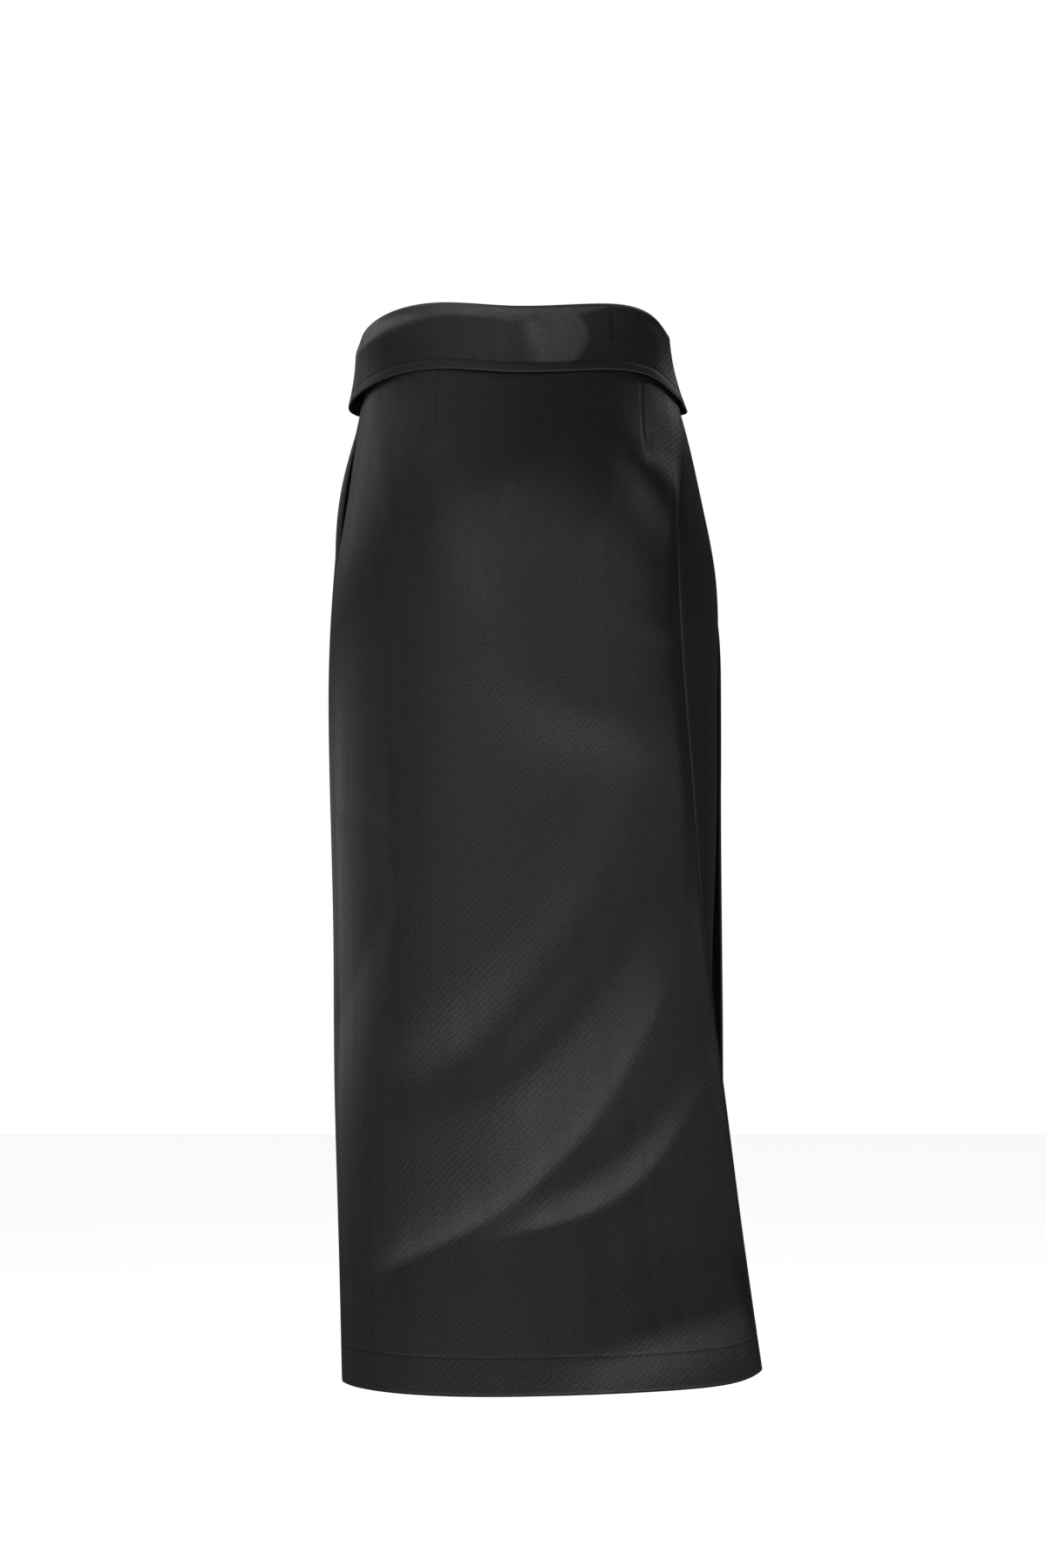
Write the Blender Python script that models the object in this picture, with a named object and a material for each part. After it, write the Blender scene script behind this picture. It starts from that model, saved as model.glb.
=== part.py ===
"""A wrap skirt with a turned-down waistband, worn, in heavy black satin.

Metres. The origin is the centre of the waist opening, level with the band's fold at the back.
+X is the wearer's right, +Y the way the wearer faces, +Z up.
"""

import math
from collections import namedtuple
from functools import lru_cache

import bmesh
import bpy
from mathutils import Vector

# The cloth
CLOTH = 0.0015              # one layer of the satin
HEM_CLOTH = 0.0027          # where the hem is turned up and doubled
TIE_CLOTH = 0.0025          # a tie, sewn as a flat tube
SEAM_GAP = 0.0003           # between two pieces that are sewn together
TIE_GAP = 0.0009            # between a tie and the curved cloth under it

# Heights
BAND_RISE = 0.046           # from the waist seam up to the band's fold
FLAP_LENGTH = 0.056         # from the fold down to the flap's edge
FOLD_RADIUS = 0.0024        # of the band's fold, on its outer side
HEM_Z = -0.8990
HEM_DIP = 0.0055            # it hangs this much lower at the left side seam
HEM_SHARE = 0.9635          # the hem's stitching, as a share of the way down a panel
RIDGE_LIFT = 0.0115         # the hem rises this much at the ridge on the right side
RIDGE_REACH = 0.050         # share of a half round over which most of it is lost

# Places round the skirt: 0 is the left side seam, 0.5 the back centre, 1 the right side seam,
# 1.5 the front centre and 2 the left side seam again
LEFT_SEAM = 0.0
RIGHT_SEAM = 1.0
FULL_TURN = 2.0
OVERLAP_EDGE = 1.30         # free edge of the outer front, on the right
UNDERLAP_EDGE = 1.66        # free edge of the inner front, past the front centre
UNDERLAP_INSET = 0.0095     # the inner front lies this far in at the waist, under the band's flap
UNDERLAP_REST = 0.0042      # and this far in below
INSET_FADE = 0.09           # height over which the one becomes the other
INSET_REACH = 0.13          # share of a half round before the outer front over which it moves in

Section = namedtuple("Section", "z left_x left_y left_wide right_x right_y right_wide wide_y "
                                "back front right_turn")
# One row for each height: the side seams, the widest points of the fronts, how deep the skirt is
# behind and before the origin, and how far the back has turned round (degrees) at the right seam
SECTIONS = (
    # z      left_x left_y  l_wide right_x right_y r_wide wide_y back   front  turn
    Section(0.012, .1368, -.004, .1368, .1200, -.014, .1210, .012, .0860, .0960, 76),
    Section(-.045, .1330, -.004, .1334, .1232, -.018, .1240, .012, .0895, .1000, 74),
    Section(-.100, .1408, -.004, .1425, .1335, -.037, .1385, .014, .1060, .1060, 70),
    Section(-.160, .1495, -.006, .1550, .1315, -.063, .1528, .018, .1232, .1110, 62),
    Section(-.220, .1592, -.006, .1612, .1300, -.077, .1641, .020, .1262, .1130, 56),
    Section(-.310, .1644, -.006, .1656, .1345, -.079, .1660, .022, .1228, .1130, 52),
    Section(-.400, .1640, -.004, .1643, .1420, -.073, .1656, .022, .1200, .1140, 50),
    Section(-.520, .1613, -.002, .1613, .1520, -.064, .1618, .022, .1176, .1160, 47),
    Section(-.640, .1606, 0.000, .1606, .1675, -.055, .1570, .022, .1172, .1200, 44),
    Section(-.760, .1575, 0.000, .1575, .1830, -.053, .1520, .022, .1192, .1240, 41),
    Section(-.905, .1540, 0.000, .1540, .2035, -.060, .1480, .022, .1312, .1290, 39),
)
LEFT_TURN = math.radians(80)
SEAM_WRAP = math.radians(60)    # turn of a front between its widest point and its side seam

Fold = namedtuple("Fold", "x0 z0 x1 z1 x2 z2 x3 z3 height above below crisp")
# The largest folds, seen from outside: a curve through four places, how high it stands or, where
# negative, how deep it lies, how far it reaches above and below its line, and whether it is crisp
BACK_FOLDS = (
    #    x0     z0     x1     z1     x2     z2     x3     z3     height  above below crisp
    Fold(-.140, -.817, -.029, -.757, 0.083, -.642, 0.152, -.494, -.0040, .013, .045, 1),
    Fold(-.055, -.676, 0.010, -.622, 0.068, -.554, 0.140, -.405, 0.0047, .045, .038, 0),
    Fold(-.035, -.781, 0.043, -.757, 0.122, -.700, 0.170, -.612, -.0030, .012, .030, 1),
    Fold(-.105, -.645, 0.023, -.559, 0.080, -.474, 0.145, -.325, -.0028, .034, .024, 0),
    Fold(-.135, 0.130, -.060, -.200, 0.010, -.310, 0.145, -.370, 0.0046, .050, .042, 0),
    Fold(0.072, -.130, 0.100, -.154, 0.120, -.178, 0.150, -.216, 0.0070, .022, .022, 0),
    Fold(0.030, -.872, 0.090, -.854, 0.150, -.838, 0.230, -.822, 0.0048, .032, .032, 0),
    Fold(-.168, -.612, -.150, -.578, -.138, -.548, -.104, -.506, -.0036, .060, .030, 1),
)
FRONT_FOLDS = (
    Fold(-.140, -.560, -.060, -.640, 0.030, -.735, 0.120, -.800, -.0038, .028, .040, 1),
    Fold(-.140, -.480, -.050, -.570, 0.040, -.650, 0.120, -.715, 0.0034, .042, .038, 0),
    Fold(-.150, -.640, -.080, -.720, 0.000, -.785, 0.070, -.815, -.0026, .016, .030, 1),
    Fold(-.130, -.350, -.040, -.290, 0.040, -.215, 0.120, -.125, 0.0040, .042, .040, 0),
    Fold(-.110, -.210, -.060, -.180, 0.000, -.140, 0.050, -.110, 0.0024, .022, .026, 0),
)
FOLD_FADE = 0.3             # share of its length over which a fold dies out at each end
CRISP_ROUND = 0.003         # a crisp fold's line is rounded over this distance
SEAM_FADE = 0.035           # the folds die out this far from the side seams

BandPlace = namedtuple("BandPlace", "around top flare")
# The band: height of its fold and how far the outside of its flap's edge stands off the skirt
BAND_PLACES = (
    BandPlace(0.00, -.0165, .0090),
    BandPlace(0.13, -.0035, .0062),
    BandPlace(0.30, 0.0040, .0052),
    BandPlace(0.50, 0.0000, .0050),
    BandPlace(0.70, 0.0024, .0046),
    BandPlace(0.85, 0.0018, .0040),
    BandPlace(0.93, -.0060, .0038),
    BandPlace(1.00, -.0180, .0045),
    BandPlace(1.15, -.0255, .0085),
    BandPlace(1.50, -.0300, .0070),
    BandPlace(1.80, -.0280, .0100),
    BandPlace(1.92, -.0240, .0120),
    BandPlace(2.00, -.0165, .0090),
)
COVERED_FLARE = 0.0040      # the flap lies this much flatter under the outer front

# The pocket in the left side seam
POCKET_TOP = -0.100
POCKET_BOTTOM = -0.204
POCKET_GAPE = 0.0032        # how far the front's edge stands off the back's at the mouth
POCKET_REACH = 0.10         # share of a half round over which the front is lifted
BAG_CLOTH = 0.0024          # two layers of thinner cloth
BAG_GAP = 0.0019            # it hangs this far inside the front
BAG_TOP = -0.085
BAG_BOTTOM = -0.310
BAG_ROUND = 0.060           # its lower corners are this much higher
BAG_INNER_EDGE = 1.72       # how far round the front it reaches
BAG_OUTER_EDGE = 1.985

# The tie on the right front
KNOT_AROUND = 1.335
KNOT_Z = -0.099
KNOT_SIZE = (0.034, 0.013, 0.024)   # around, out and up
TIE_WIDTH = 0.030
TIE_NECK = 0.014            # its width where it leaves the knot
NECK_SHARE = 0.25           # share of an end over which it widens
NECK_SPREAD = 0.024         # how far to each side of the knot's middle an end leaves it
LONG_END_AROUND = 1.205     # where the long end lies at the hip
LONG_END_HIP = -0.400       # it hangs free below this height
LONG_END_Z = -0.665
LONG_END_LEAN = 0.0018      # it drifts out by this much as it hangs
SHORT_END_AROUND = 1.375
SHORT_END_Z = -0.430

# How finely the outline and the pieces are worked out
ARC_STEPS = 40
STEP_AROUND = 0.006
STEP_ALONG = 0.004
SEAM_SHARE = 0.0006         # half the gap at a side seam, as a share of a half round

COLLECTION = "Wrap skirt"


def smooth(value, start, end):
    """Ease from 0 at start to 1 at end."""
    share = min(max((value - start) / (end - start), 0.0), 1.0)
    return share * share * (3 - 2 * share)


def read_table(table, key, place):
    """The row of a table at one place, each column on a smooth curve through the rows."""
    rows = sorted(table, key=lambda row: getattr(row, key))
    keys = [getattr(row, key) for row in rows]
    place = min(max(place, keys[0]), keys[-1])
    low = max(index for index in range(len(keys) - 1) if keys[index] <= place)
    span = keys[low + 1] - keys[low]
    share = (place - keys[low]) / span

    def slope(index, column):
        before = max(index - 1, 0)
        after = min(index + 1, len(keys) - 1)
        return (rows[after][column] - rows[before][column]) / (keys[after] - keys[before])

    columns = []
    for column, (start, end) in enumerate(zip(rows[low], rows[low + 1])):
        columns.append(start + (end - start) * (3 - 2 * share) * share ** 2
                       + span * slope(low, column) * share * (1 - share) ** 2
                       - span * slope(low + 1, column) * share ** 2 * (1 - share))
    return type(rows[0])(*columns)


def arc(start, end, steps=ARC_STEPS):
    """Angles from start to end, without the last."""
    return [start + (end - start) * step / steps for step in range(steps)]


@lru_cache(maxsize=None)
def outline(z):
    """The skirt's outline at a height: its back half and its front half, seam to seam."""
    row = read_table(SECTIONS, "z", z)
    turn = math.radians(row.right_turn)
    back = []
    for angle in arc(-LEFT_TURN, 0):
        share = (1 - math.cos(angle)) / (1 - math.cos(LEFT_TURN))
        back.append((row.left_x * math.sin(angle) / math.sin(LEFT_TURN),
                     -row.back + (row.left_y + row.back) * share))
    for angle in arc(0, turn) + [turn]:
        share = (1 - math.cos(angle)) / (1 - math.cos(turn))
        back.append((row.right_x * math.sin(angle) / math.sin(turn),
                     -row.back + (row.right_y + row.back) * share))

    def seam_arc(side, seam_x, seam_y, wide_x, angle):
        share = (1 - math.cos(angle)) / (1 - math.cos(SEAM_WRAP))
        return (side * (wide_x + (seam_x - wide_x) * share),
                row.wide_y - (row.wide_y - seam_y) * math.sin(angle) / math.sin(SEAM_WRAP))

    depth = row.front - row.wide_y
    front = [seam_arc(1, row.right_x, row.right_y, row.right_wide, angle) for angle in arc(SEAM_WRAP, 0)]
    front += [(row.right_wide * math.cos(angle), row.wide_y + depth * math.sin(angle))
              for angle in arc(0, math.pi / 2)]
    front += [(row.left_wide * math.cos(angle), row.wide_y + depth * math.sin(angle))
              for angle in arc(math.pi / 2, math.pi)]
    front += [seam_arc(-1, row.left_x, row.left_y, row.left_wide, angle)
              for angle in arc(0, SEAM_WRAP) + [SEAM_WRAP]]
    return [(half, distances(half)) for half in (back, front)]


def distances(points):
    """How far along a line each of its points is."""
    total = [0.0]
    for before, after in zip(points, points[1:]):
        total.append(total[-1] + math.dist(before, after))
    return total


def around_at(around, z):
    """The point of the smooth outline at a place round the skirt, 0 to 2."""
    around = around % FULL_TURN
    half, lengths = outline(round(z, 6))[int(around)]
    wanted = (around % 1.0) * lengths[-1]
    low = 0
    high = len(lengths) - 1
    while high - low > 1:
        middle = (low + high) // 2
        if lengths[middle] <= wanted:
            low = middle
        else:
            high = middle
    share = (wanted - lengths[low]) / (lengths[high] - lengths[low])
    return Vector((half[low][0] + (half[high][0] - half[low][0]) * share,
                   half[low][1] + (half[high][1] - half[low][1]) * share,
                   z))


def outward(around, z):
    """Level direction out of the skirt; at a seam it halves the corner."""
    run = around_at(around + STEP_AROUND, z) - around_at(around - STEP_AROUND, z)
    return Vector((run.y, -run.x, 0)).normalized()


def fold_line(fold, x):
    """Height of a fold's line: the cubic through its four places."""
    places = ((fold.x0, fold.z0), (fold.x1, fold.z1), (fold.x2, fold.z2), (fold.x3, fold.z3))
    total = 0.0
    for here, height in places:
        term = height
        for other, _ in places:
            if other != here:
                term *= (x - other) / (here - other)
        total += term
    return total


def fold_height(fold, x, z):
    """How far a fold lifts the cloth at a place, or sinks it where its height is negative."""
    fade = FOLD_FADE * (fold.x3 - fold.x0)
    ends = (smooth(x, fold.x0 - fade / 2, fold.x0 + fade)
            * (1 - smooth(x, fold.x3 - fade, fold.x3 + fade / 2)))
    if ends == 0:
        return 0.0
    inside = min(max(x, fold.x0), fold.x3)
    slope = (fold_line(fold, inside + 0.001) - fold_line(fold, inside - 0.001)) / 0.002
    away = (z - fold_line(fold, inside)) / math.hypot(1, slope)
    reach = fold.above if away > 0 else fold.below
    if fold.crisp:
        profile = math.exp((CRISP_ROUND - math.hypot(away, CRISP_ROUND)) / reach)
    else:
        profile = math.exp(-(away / reach) ** 2)
    return fold.height * ends * profile


def skirt(around, z):
    """The outer side of the skirt, with its folds."""
    point = around_at(around, z)
    on_back = around % FULL_TURN < RIGHT_SEAM
    folds = BACK_FOLDS if on_back else FRONT_FOLDS
    _, lengths = outline(round(z, 6))[0 if on_back else 1]
    share = around % 1.0
    to_seam = min(share, 1 - share) * lengths[-1]
    lift = sum(fold_height(fold, point.x, z) for fold in folds) * smooth(to_seam, 0, SEAM_FADE)
    return point + lift * outward(around, z)


def hem_height(around):
    """The hem dips a little to the left seam and is lifted at the ridge on the right side."""
    dip = HEM_DIP * ((1 + math.cos(math.pi * around)) / 2) ** 1.5
    away = abs(around - RIGHT_SEAM)
    return HEM_Z - dip + RIDGE_LIFT * math.exp(-away / RIDGE_REACH)


def seam_height(around):
    """The waist seam, a band's rise below the fold."""
    return read_table(BAND_PLACES, "around", around % FULL_TURN).top - BAND_RISE


def panel_height(around, down):
    """Height at a share of the way down a panel, from just under the waist seam to the hem."""
    top = seam_height(around) - SEAM_GAP
    return top + (hem_height(around) - top) * down


def underlap_inset(around, z):
    """How far in the inner front lies: none at the side seam, most where the outer front covers it."""
    covered = smooth(around, OVERLAP_EDGE - INSET_REACH, OVERLAP_EDGE - 0.02)
    high = smooth(z, seam_height(around) - INSET_FADE, seam_height(around) - 0.015)
    return covered * (UNDERLAP_REST + (UNDERLAP_INSET - UNDERLAP_REST) * high)


def pocket_lift(around, z):
    """The front's edge gapes at the pocket's mouth."""
    mouth = (z - POCKET_BOTTOM) / (POCKET_TOP - POCKET_BOTTOM)
    if not 0 < mouth < 1:
        return 0.0
    return POCKET_GAPE * math.sin(math.pi * mouth) * smooth(around, FULL_TURN - POCKET_REACH, FULL_TURN)


def back_surface(around, down):
    """The back panel's outer side."""
    return skirt(around, panel_height(around, down))


def overlap_surface(around, down):
    """The outer front's outer side, lifted at the pocket's mouth."""
    z = panel_height(around, down)
    return skirt(around, z) + pocket_lift(around, z) * outward(around, z)


def underlap_surface(around, down):
    """The inner front's outer side, under the outer front."""
    z = panel_height(around, down)
    return skirt(around, z) - underlap_inset(around, z) * outward(around, z)


def bag_surface(around, down):
    """The pocket's bag, against the inside of the outer front."""
    middle = (BAG_INNER_EDGE + BAG_OUTER_EDGE) / 2
    side = (around - middle) / (BAG_OUTER_EDGE - middle)
    bottom = BAG_BOTTOM + BAG_ROUND * side ** 4
    z = BAG_TOP + (bottom - BAG_TOP) * down
    inside = CLOTH + BAG_GAP - pocket_lift(around, z)
    return skirt(around, z) - inside * outward(around, z)


def band_surface(around, along):
    """The band's outer side: up the inside from the waist seam, over the fold, down the flap.

    It starts under the outer front, at the inner front's free edge, and runs past the right seam,
    the back and the left seam to the outer front's free edge, so around falls below 0 at its end.
    """
    place = read_table(BAND_PLACES, "around", around % FULL_TURN)
    rise = BAND_RISE - FOLD_RADIUS
    turn = math.pi * FOLD_RADIUS
    drop = FLAP_LENGTH - FOLD_RADIUS
    way = along * (rise + turn + drop)
    covered = 0.0
    inset = 0.0
    if around > RIGHT_SEAM:
        inset = underlap_inset(around, seam_height(around))
        covered = inset / UNDERLAP_INSET
    if way < rise:
        out = 0.0
        z = place.top - BAND_RISE + way
    elif way < rise + turn:
        angle = (way - rise) / FOLD_RADIUS
        out = FOLD_RADIUS * (1 - math.cos(angle))
        z = place.top - FOLD_RADIUS * (1 - math.sin(angle))
    else:
        share = max(way - rise - turn, 0) / drop
        flare = place.flare - COVERED_FLARE * covered
        out = 2 * FOLD_RADIUS + (flare + CLOTH - 2 * FOLD_RADIUS) * share ** 1.5
        z = place.top - FOLD_RADIUS - drop * share
    return around_at(around, z) + (out - CLOTH - inset) * outward(around, z)


def long_end_surface(across, along):
    """The tie's long end: over the hip, then free and plumb."""
    top = KNOT_Z - KNOT_SIZE[2] / 2 - SEAM_GAP
    z = top + (LONG_END_Z - top) * along
    level = max(z, LONG_END_HIP)
    leaves = KNOT_AROUND - NECK_SPREAD
    around = leaves + (LONG_END_AROUND - leaves) * smooth(-z, -top, -LONG_END_HIP)
    lean = LONG_END_LEAN * smooth(-z, -LONG_END_HIP, -LONG_END_Z)
    point = on_skirt(around, level, across - 0.5, along, lean)
    return Vector((point.x, point.y, z))


def short_end_surface(across, along):
    """The tie's short end, lying on the outer front."""
    top = KNOT_Z - KNOT_SIZE[2] / 2 - SEAM_GAP
    z = top + (SHORT_END_Z - top) * along
    leaves = KNOT_AROUND + NECK_SPREAD
    around = leaves + (SHORT_END_AROUND - leaves) * smooth(-z, -top, -SHORT_END_Z)
    return on_skirt(around, z, across - 0.5, along, 0.0)


def on_skirt(around, z, across, along, out):
    """A tie's outer side on the skirt, across from -0.5 to 0.5 of its width."""
    _, lengths = outline(round(z, 6))[1]
    width = TIE_NECK + (TIE_WIDTH - TIE_NECK) * smooth(along, 0, NECK_SHARE)
    place = around + across * width / lengths[-1]
    return skirt(place, z) + (TIE_CLOTH + TIE_GAP + out) * outward(place, z)


def spread(start, end, count):
    """Evenly spaced values from start to end."""
    return [start + (end - start) * step / count for step in range(count + 1)]


def hem_wall(share):
    """A panel's wall: one layer, and two where the hem is turned up."""
    return HEM_CLOTH if share > HEM_SHARE else CLOTH


def cloth(name, surface, places, shares, wall, material):
    """A piece of cloth: a grid laid on the surface of its outer side, given its wall inward."""
    bm = bmesh.new()
    columns = len(places) - 1
    rows = len(shares) - 1
    bmesh.ops.create_grid(bm, x_segments=columns, y_segments=rows, size=0.5)
    doubled = bmesh.ops.extrude_face_region(bm, geom=bm.faces[:], use_keep_orig=True)
    inner = {element for element in doubled["geom"] if isinstance(element, bmesh.types.BMVert)}
    for vertex in bm.verts:
        place = places[round((vertex.co.x + 0.5) * columns)]
        share = shares[round((vertex.co.y + 0.5) * rows)]
        vertex.co = surface(place, share)
        if vertex in inner:
            # At a side seam both pieces take the seam's own direction, so their gap stays even
            seam = round(place)
            if abs(place - seam) < 2 * SEAM_SHARE:
                place = seam
            across = surface(place + STEP_AROUND, share) - surface(place - STEP_AROUND, share)
            along = surface(place, share + STEP_ALONG) - surface(place, share - STEP_ALONG)
            vertex.co += across.cross(along).normalized() * wall(share)
    return finish(name, bm, material)


def finish(name, bm, material):
    """Close a piece's mesh into a named, smooth object in the skirt's collection."""
    bmesh.ops.recalc_face_normals(bm, faces=bm.faces)
    mesh = bpy.data.meshes.new(name)
    bm.to_mesh(mesh)
    bm.free()
    mesh.shade_smooth()
    mesh.set_sharp_from_angle(angle=math.radians(40))
    mesh.materials.append(material)
    piece = bpy.data.objects.new(name, mesh)
    bpy.data.collections[COLLECTION].objects.link(piece)
    return piece


def tie_knot(material):
    """The knot, a flattened ball seated on the outer front just below the flap."""
    around, out, up = KNOT_SIZE
    away = outward(KNOT_AROUND, KNOT_Z)
    middle = skirt(KNOT_AROUND, KNOT_Z) + (out / 2 + TIE_GAP) * away
    bm = bmesh.new()
    bmesh.ops.create_uvsphere(bm, u_segments=16, v_segments=10, radius=0.5)
    bmesh.ops.scale(bm, vec=(around, out, up), verts=bm.verts)
    knot = finish("tie_knot", bm, material)
    knot.location = middle
    knot.rotation_euler.z = math.atan2(away.y, away.x) + math.pi / 2
    return knot


def make_material(name, color, roughness):
    material = bpy.data.materials.new(name)
    material.use_nodes = True
    shader = material.node_tree.nodes["Principled BSDF"]
    shader.inputs["Base Color"].default_value = (*color, 1)
    shader.inputs["Roughness"].default_value = roughness
    shader.inputs["Metallic"].default_value = 0
    return material


def main():
    for item in list(bpy.data.objects):
        bpy.data.objects.remove(item, do_unlink=True)
    bpy.context.scene.collection.children.link(bpy.data.collections.new(COLLECTION))
    satin = make_material("Black satin", (0.012, 0.012, 0.013), 0.45)
    pocketing = make_material("Black pocketing", (0.010, 0.010, 0.011), 0.80)

    down = spread(0, HEM_SHARE - 0.0005, 36) + [HEM_SHARE + 0.0005, 1.0]
    back_places = spread(LEFT_SEAM + SEAM_SHARE, RIGHT_SEAM - SEAM_SHARE, 28)
    cloth("back_panel", back_surface, back_places, down, hem_wall, satin)
    overlap_places = spread(OVERLAP_EDGE, FULL_TURN - SEAM_SHARE, 22)
    cloth("front_overlap", overlap_surface, overlap_places, down, hem_wall, satin)
    underlap_places = spread(RIGHT_SEAM + SEAM_SHARE, UNDERLAP_EDGE, 16)
    cloth("front_underlap", underlap_surface, underlap_places, down, hem_wall, satin)

    length = BAND_RISE + FLAP_LENGTH + (math.pi - 2) * FOLD_RADIUS
    fold_start = (BAND_RISE - FOLD_RADIUS) / length
    fold_end = (BAND_RISE + (math.pi - 1) * FOLD_RADIUS) / length
    along = spread(0, fold_start, 2)[:-1] + spread(fold_start, fold_end, 4)[:-1] + spread(fold_end, 1, 3)
    band_places = spread(UNDERLAP_EDGE, OVERLAP_EDGE - FULL_TURN, 64)
    cloth("waistband", band_surface, band_places, along, lambda share: CLOTH, satin)

    bag_places = spread(BAG_INNER_EDGE, BAG_OUTER_EDGE, 9)
    cloth("pocket_bag", bag_surface, bag_places, spread(0, 1, 8), lambda share: BAG_CLOTH, pocketing)

    tie_knot(satin)
    across = spread(0, 1, 2)
    cloth("tie_end_long", long_end_surface, across, spread(0, 1, 24), lambda share: TIE_CLOTH, satin)
    cloth("tie_end_short", short_end_surface, across, spread(0, 1, 14), lambda share: TIE_CLOTH, satin)


main()
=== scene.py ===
# %% [markdown]
# # A long wrap skirt in black satin
#
# The garment is a long wrap skirt, seen from behind in its worn shape: filled out, hollow, and open
# at the waist and the hem. A deep waistband is turned down over the waist seam like a collar, the
# back panel has two darts, a pocket opens in the left side seam, and the wrap closes with a tie on
# the right front. Left and right are the garment's own, and from behind they are the picture's too.
# The solid frame already has every piece at its true place. This script only dresses it: each
# solid is replaced by finer cloth on the same form. All lengths are in metres.

# %% Load the frame
import math

import bmesh
import bpy
import numpy as np
from mathutils import Matrix, Vector


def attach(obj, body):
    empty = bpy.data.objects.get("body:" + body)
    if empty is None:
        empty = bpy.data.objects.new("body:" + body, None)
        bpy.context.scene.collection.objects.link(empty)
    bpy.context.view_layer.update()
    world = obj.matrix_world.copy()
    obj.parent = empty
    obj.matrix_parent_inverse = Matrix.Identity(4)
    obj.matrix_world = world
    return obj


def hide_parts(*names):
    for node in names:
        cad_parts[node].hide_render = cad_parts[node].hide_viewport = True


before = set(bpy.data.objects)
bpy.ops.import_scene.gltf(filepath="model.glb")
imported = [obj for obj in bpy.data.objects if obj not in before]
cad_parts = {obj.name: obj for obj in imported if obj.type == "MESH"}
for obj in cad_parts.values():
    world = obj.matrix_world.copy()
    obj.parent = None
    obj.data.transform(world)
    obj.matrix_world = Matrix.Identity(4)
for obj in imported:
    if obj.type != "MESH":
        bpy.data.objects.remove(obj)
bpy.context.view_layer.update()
print("solids:", sorted(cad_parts))

# %% [markdown]
# ## Camera
#
# The photograph is taken level, from far off, with the skirt's middle at the middle of the frame.
# From far off, a long lens keeps the sides nearly parallel. A real camera could be turned to find
# the framing; here the height, the distance and the focal length are enough, with no shift.

# %% Camera
PHOTO_HEIGHT = 1799            # pixels
FOCAL_PIXELS = 5405            # focal length in the photograph's pixels
CAMERA_DISTANCE = 4.0
CAMERA_Z = -0.3975
SENSOR = 36.0                  # millimetres, along the frame's long side

camera_data = bpy.data.cameras.new("Camera")
camera_data.sensor_width = SENSOR
camera_data.lens = SENSOR * FOCAL_PIXELS / PHOTO_HEIGHT
camera = bpy.data.objects.new("Camera", camera_data)
camera.location = (0, -CAMERA_DISTANCE, CAMERA_Z)
camera.rotation_euler = (math.pi / 2, 0, 0)
bpy.context.scene.collection.objects.link(camera)
bpy.context.scene.camera = camera
print(f"lens {camera_data.lens:.1f} mm")

# %% [markdown]
# ## Floor, background and light
#
# Black cloth shows its form only by what it reflects, so the light matters more than the colour.
# A studio for such a picture has a white sweep behind, which edges the sides with light, and soft
# boxes and white boards in front, which lay long highlights on the folds. The floor is a plain pale
# sheet well below the hem, because the skirt is held up at its waist.

# %% Helpers for materials and meshes
def new_material(name):
    """An empty Principled material, with its nodes, its links and its shader."""
    material = bpy.data.materials.new(name)
    material.use_nodes = True
    nodes = material.node_tree.nodes
    return material, nodes, material.node_tree.links, nodes["Principled BSDF"]


def link_mesh(name, bm, materials):
    """Turn a bmesh into a smooth object at the origin."""
    mesh = bpy.data.meshes.new(name)
    bm.to_mesh(mesh)
    bm.free()
    mesh.shade_smooth()
    for material in materials:
        mesh.materials.append(material)
    thing = bpy.data.objects.new(name, mesh)
    bpy.context.scene.collection.objects.link(thing)
    return thing


# %% [markdown]
# A white floor lit as brightly as the background would throw too much light up at the cloth. So the
# camera sees a pale, glowing floor that meets the white background, while the cloth is lit by a
# dull grey one. The background does the same: white to the camera, a dim cool room to the cloth.

# %% Floor and background
FLOOR_Z = -1.14
FLOOR_SIZE = 12.0
FLOOR_GREY = (0.30, 0.30, 0.30, 1)
FLOOR_PALE = (0.85, 0.85, 0.85, 1)
FLOOR_GLOW = 0.90
BACKGROUND = 1.0               # brightness that the camera sees behind the skirt
ROOM_COLOR = (0.85, 0.90, 1.15, 1)
SURROUND = 0.05                # brightness that lights the cloth from all around


def make_floor():
    """A floor that the camera sees meet the background, and that throws back little light."""
    material, nodes, links, shader = new_material("Floor")
    shader.inputs["Base Color"].default_value = FLOOR_GREY
    shader.inputs["Roughness"].default_value = 0.9
    shader.inputs["Specular IOR Level"].default_value = 0.1
    pale = nodes.new("ShaderNodeBsdfDiffuse")
    pale.inputs["Color"].default_value = FLOOR_PALE
    glow = nodes.new("ShaderNodeEmission")
    glow.inputs["Strength"].default_value = FLOOR_GLOW
    bright = nodes.new("ShaderNodeAddShader")
    path = nodes.new("ShaderNodeLightPath")
    mix = nodes.new("ShaderNodeMixShader")
    links.new(pale.outputs["BSDF"], bright.inputs[0])
    links.new(glow.outputs["Emission"], bright.inputs[1])
    links.new(path.outputs["Is Camera Ray"], mix.inputs["Fac"])
    links.new(shader.outputs["BSDF"], mix.inputs[1])
    links.new(bright.outputs["Shader"], mix.inputs[2])
    links.new(mix.outputs["Shader"], nodes["Material Output"].inputs["Surface"])
    bm = bmesh.new()
    bmesh.ops.create_grid(bm, x_segments=1, y_segments=1, size=FLOOR_SIZE / 2)
    bmesh.ops.translate(bm, vec=(0, 0, FLOOR_Z), verts=bm.verts)
    return link_mesh("floor", bm, [material])


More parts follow.
